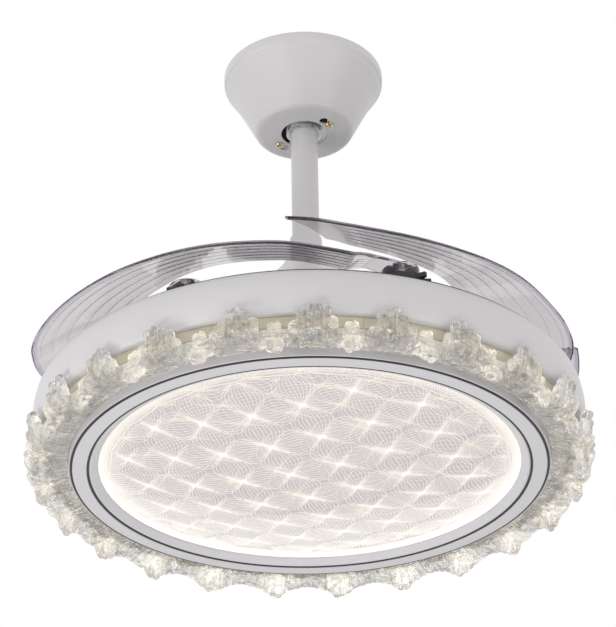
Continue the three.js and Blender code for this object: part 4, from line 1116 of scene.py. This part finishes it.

# Trim ring: lilac-white satin plastic with a raised band between two grooves. A thin black
# ring nearly fills each groove and paints the shadow of the gap there.
trim_plastic = sprayed("lilac-white plastic", (0.65, 0.635, 0.655), 0.03, 1200.0, 0.38, bump=(0.2, 0.0001))
trim_outline = [
    (189.4, 5), (195.9, 1), (197.6, 1), (197.6, 1.8), (199.9, 1.8), (199.9, 0), (212.6, 0), (212.6, 1.8),
    (214.9, 1.8), (214.9, 1), (216, 1), (216, 16), (214.4, 16), (214.4, 3), (198.1, 3), (191.6, 7.2),
    (189.4, 7.2),
]
trim = turned("trim_face", softened(trim_outline, 0.35), turns=256)
finished(sharp_edges(trim, 60), trim_plastic, "stem", "trim_white", "trim_ring")
# Painted shade: a black ring in each groove.
gap_shadow_black = sprayed("black inlay", (0.02, 0.02, 0.022), 0.2, 1500.0, 0.4, bump=(0.2, 0.0001))
for name, outer in (("outer", 214.9), ("inner", 199.9)):
    line_outline = rectangle(outer - 2, outer - 0.3, 0.3, 1.5)
    inlay = turned(f"{name}_dark_line", softened(line_outline, 0.3), turns=256)
    finished(sharp_edges(inlay), gap_shadow_black, "stem", "black_inlay", f"{name}_inlay")

# Frosted band: twelve lengths of opal acrylic under the drum's lower rim, which the halo
# strip shines through. Their finish also has a faint warm painted glow for that light.
opal = sprayed(
    "opal acrylic", (0.56, 0.52, 0.4), 0.1, 300.0, 0.35, bump=(0.2, 0.0002),
    Subsurface_Weight=0.3, Subsurface_Scale=0.004,
    Emission_Color=(1.0, 0.92, 0.7, 1), Emission_Strength=0.06,
)
band = turned("frosted_band_ring", softened(rectangle(236, 240.5, 14.7, 24.7), 0.8), turns=256)
seams = []
for seam in range(12):
    cut = upright("seam", rectangle(239.8, 241.6, -0.3, 0.3), 14, 25.5)
    seams.append(moved(cut, math.radians(-79 + 30 * seam)))
worked(band, seams)
finished(sharp_edges(band), opal, "stem", "opal_acrylic", "frosted_band")

# Crystal edge: six moulded lengths of clear acrylic on a rail, with upturned fingers and
# small hanging ones between them, all flowing into one another as they do from the mould.
cut_crystal, given, place = new_effect(
    "Moulded Crystal",
    Colour=(0.9, 0.9, 0.9, 1),
    Groove_Colour=(0.5, 0.5, 0.5, 1),
    Facet_Size=150.0,
    Roughness=0.03,
)
apart = add_node(cut_crystal, "ShaderNodeSeparateXYZ", feeds=(place,)).outputs
turn = sums(cut_crystal, "ARCTAN2", apart[1], apart[0])
shrunk_turn = sums(cut_crystal, "MULTIPLY", turn, 0.24)
flute_place = add_node(cut_crystal, "ShaderNodeCombineXYZ", feeds=(shrunk_turn, 0.0, 0.0)).outputs[0]
flutes = noise(cut_crystal, flute_place, 520.0, 2.0)
facets = add_node(cut_crystal, "ShaderNodeTexVoronoi", Vector=place, Scale=given["Facet Size"])
streaks = noise(cut_crystal, place, 420.0, 2.0)
groove = add_node(cut_crystal, "ShaderNodeAttribute", attribute_name="groove").outputs["Fac"]
cell_size = sums(cut_crystal, "MULTIPLY", given["Facet Size"], 1.7)
cells = add_node(cut_crystal, "ShaderNodeTexVoronoi", Vector=place, Scale=cell_size)
cell = add_node(cut_crystal, "ShaderNodeSeparateXYZ", feeds=(cells.outputs["Color"],)).outputs[0]
# Painted shade: the clear colour is darkened along noise flutes round the axis, in hollow creases and in
# random cells, for the dark lines and dark glints that refraction shows in moulded crystal.
dark = sums(cut_crystal, "SUBTRACT", flutes, 0.5)
dark = sums(cut_crystal, "MULTIPLY_ADD", dark, 1.6, groove)
dark = sums(cut_crystal, "MULTIPLY_ADD", sums(cut_crystal, "POWER", cell, 4.0), 1.4, dark)
relief = sums(cut_crystal, "MULTIPLY_ADD", streaks, 0.1, facets.outputs["Distance"])
add_node(
    cut_crystal,
    "NodeGroupOutput",
    Colour=mixed(cut_crystal, dark, given["Colour"], given["Groove Colour"]),
    Roughness=sums(cut_crystal, "MULTIPLY_ADD", streaks, 0.06, given["Roughness"]),
    Height=sums(cut_crystal, "MULTIPLY_ADD", flutes, 0.8, relief),
)
crystal_finish = finish_of(cut_crystal, "Groove Colour", "Facet Size", "Roughness")
lit_crystal = crystal_finish(
    "lit crystal acrylic", (0.98, 0.97, 0.96), (0.48, 0.465, 0.445, 1), 125.0, 0.0, bump=(0.85, 0.003),
    Transmission_Weight=0.97, IOR=1.49, Emission_Strength=1.0,
)
# Painted light: a faint glow all over the crystals, rising to a warm one where the lit value is high.
lit_share = add_node(lit_crystal.node_tree, "ShaderNodeAttribute", attribute_name="lit").outputs["Fac"]
painted_glow(lit_crystal, lit_share, (0.035, 0.033, 0.03, 1), (0.32, 0.3, 0.24, 1))
crystal_step = 2 * math.pi / 24
flute_pitch = 6.54
tip_heights = [
    # the six upturned fingers of each large cluster, in the four clusters of a length
    (13, 22, 29, 28, 29.5, 17),
    (10, 24, 26, 29.5, 24, 14),
    (15, 27, 29.5, 25, 22, 12),
    (11, 18, 28, 29.5, 27, 19),
]
hung_depths = [
    # the six hanging fingers between them, deepest in the middle
    (1.5, -6, -12.4, -10, -5, 2),
    (0, -7, -10.5, -12.4, -8, 0.5),
    (1, -5, -12.4, -12, -6, 1),
    (2, -7, -11, -12.4, -5, 1.5),
]


def rounded_end(line, radius):
    """Ends a finger in a half ball by thinning it over the last stretch."""
    *start, here = line
    before = Vector(start[-1][:3])
    tip = Vector(here[:3])
    way = (tip - before).normalized()
    middle = tip - way * radius
    ends = []
    for share in (0, 0.35, 0.6, 0.8, 0.93, 0.99):
        place = middle + way * radius * share
        ends.append((*place, radius * math.sqrt(1 - share**2)))
    return start + ends


rail_root = 218.6  # the radius where every finger leaves the rail
first_cluster = 0.3  # steps from a length's end to its first cluster
fingers = []
for step, (heights, depths) in enumerate(zip(tip_heights, hung_depths)):
    turn = first_cluster * crystal_step + step * crystal_step
    paths = []
    for index, height in enumerate(heights):
        side = (index - 2.5) * flute_pitch
        stray = 1.2 * math.sin(5 * index + 3 * step)
        sag = 5.4 - 1.5 * abs(index - 2.5)
        path = [
            (rail_root, 0.88 * side, 9.5, 3.7),
            (230, 0.93 * side, 2.5 + sag, 4.1),
            (241, 0.97 * side, sag, 4.5),
            (248.8, side, sag + 2.5, 4.5),
        ]
        if height > 18:
            path.append((251.6, side + 0.4 * stray, 0.47 * (13 + height), 4.3 + 0.3 * stray))
        path.append((252 + 0.11 * height, side + stray, height, 4.3 + 0.2 * stray))
        paths.append((0, path))
    for index, depth in enumerate(depths):
        side = (index - 2.5) * 0.98 * flute_pitch
        path = [
            (rail_root, 0.88 * side, 9.5, 3.7),
            (230, 0.93 * side, 9.2, 4.0),
            (239.5, 0.97 * side, 8.6, 4.3),
            (244, side, 4.0, 4.9),
            (245, side * 0.97, 0.5 * depth, 4.9),
            (244.6, side * 0.85, depth, 3.9),
        ]
        paths.append((0.5, path))
        if index in (2, 3):
            top = [
                (230, 0.93 * side, 10, 3.6),
                (241, 0.9 * side, 11.5, 3.6),
                (246.2, 0.8 * side, 15 + index, 3.3),
            ]
            paths.append((0.5, top))
    for shift, path in paths:
        away = turn + shift * crystal_step
        line = []
        for radius, side, height, thick in path:
            x = radius * math.cos(away) - side * math.sin(away)
            y = radius * math.sin(away) + side * math.cos(away)
            line.append((x, y, lamp_level + height, thick))
        fingers.append(rounded_end(line, path[-1][3]))
finger_wire = wire_group("Moulded Fingers", 14)
clusters = wired("clusters", fingers, finger_wire, 0.0012, lit_crystal)
segment_turn = math.pi / 3
gap = 0.3 / 230
inner_arc = [gap + (segment_turn - 2 * gap) * step / 48 for step in range(49)]
rail_outline = [ring_point(217, angle) for angle in inner_arc]
rail_outline += [ring_point(233.5, angle) for angle in reversed(inner_arc)]
rail = upright("rail", rail_outline, 7.5, 14.4)
segment = in_scene("segment", bpy.data.meshes.new("segment"))
whole = bmesh.new()
whole.from_mesh(rail.data)
whole.from_mesh(clusters.data)
whole.to_mesh(segment.data)
whole.free()
bpy.data.objects.remove(rail)
bpy.data.objects.remove(clusters)
flow = segment.modifiers.new("flow", "REMESH")
flow.mode = "VOXEL"
flow.voxel_size = 0.0011
flow.use_smooth_shade = True
settle = segment.modifiers.new("settle", "SMOOTH")
settle.factor = 0.5
settle.iterations = 3
made_plain(segment)
work = bmesh.new()
work.from_mesh(segment.data)
work.normal_update()
# Painted light: the crystals glow most where the halo strip would light the small clusters, in the middle
# of their outer face.
lit_radius = 240
lit_width = 21
lit_level = 8
lit_rise = 17
lit_from = 232
lit_over = 12
hollow_full = 0.00012  # metres below its neighbours where a point takes the full painted crease shade
grooves = []
lights = []
# A point's hollowness gives its groove value, which paints shade into the creases.
for vertex in work.verts:
    around = [edge.other_vert(vertex).co for edge in vertex.link_edges]
    middle = sum(around, Vector()) / len(around)
    hollow = (middle - vertex.co).dot(vertex.normal)
    grooves.append(min(max(hollow / hollow_full, 0), 1))
    steps_round = math.atan2(vertex.co.y, vertex.co.x) / crystal_step - first_cluster
    from_small = abs(steps_round - math.floor(steps_round) - 0.5) * crystal_step * lit_radius
    from_lit = abs(1000 * (vertex.co.z - lamp_face) - lit_level)
    out_face = min(max((1000 * vertex.co.xy.length - lit_from) / lit_over, 0), 1)
    lights.append(max(0, 1 - from_small / lit_width) * max(0, 1 - from_lit / lit_rise) * out_face)
work.free()
marked(segment.data, "groove", grooves)
marked(segment.data, "lit", lights)
for number in range(6):
    turn = math.radians(-88.9) - first_cluster * crystal_step + number * segment_turn
    crystal = turned_copy(segment, f"crystal_edge_{number + 1}", turn)
    finished(crystal, lit_crystal, "stem", "crystal_acrylic", f"crystal_segment_{number + 1}")
bpy.data.objects.remove(segment)

# The room: a pale floor well below the fan, two soft lamps in front of it and two low down,
# and a plain white surround.
room_half = 6
room_low = -2.4
floor_mesh = bpy.data.meshes.new("floor")
corners = [(x, y, room_low) for x, y in rectangle(-room_half, room_half, -room_half, room_half)]
floor_mesh.from_pydata(corners, [], [(0, 1, 2, 3)])
floor = in_scene("floor", floor_mesh)
floor_paint = sprayed("pale floor", (0.8, 0.8, 0.8), 0.02, 40.0, 0.7, bump=(0.1, 0.001))
floor_mesh.materials.append(floor_paint)


def soft_lamp(name, place, size, power, colour=(1, 1, 1)):
    """A square lamp that faces the fan."""
    data = bpy.data.lights.new(name, "AREA")
    data.size = size
    data.energy = power
    data.color = colour
    lamp = in_scene(name, data)
    lamp.location = place
    lamp.rotation_euler = (Vector((0, 0, -0.3)) - Vector(place)).to_track_quat("-Z", "Y").to_euler()


soft_lamp("front_lamp_left", (-1.6, -2.2, -0.9), 1.0, 5)
soft_lamp("front_lamp_right", (1.8, -1.8, -1.2), 1.0, 6)
soft_lamp("low_lamp_left", (-1.9, -0.7, -2.0), 0.9, 20)
soft_lamp("low_lamp_front", (0.5, -1.2, -2.4), 1.2, 14)
world = bpy.data.worlds.new("surround")
world.use_nodes = True
bpy.context.scene.world = world
tree = world.node_tree
background = tree.nodes["Background"]
path = add_node(tree, "ShaderNodeLightPath")
seen = sums(tree, "MAXIMUM", path.outputs["Is Camera Ray"], path.outputs["Is Glossy Ray"])
seen = sums(tree, "MAXIMUM", seen, path.outputs["Is Transmission Ray"])
level_of = add_node(tree, "ShaderNodeMapRange", feeds=(seen, 0.0, 1.0, 0.7, 1.0))
put(tree, background.inputs["Strength"], level_of.outputs[0])
background.inputs["Color"].default_value = (1, 1, 1, 1)
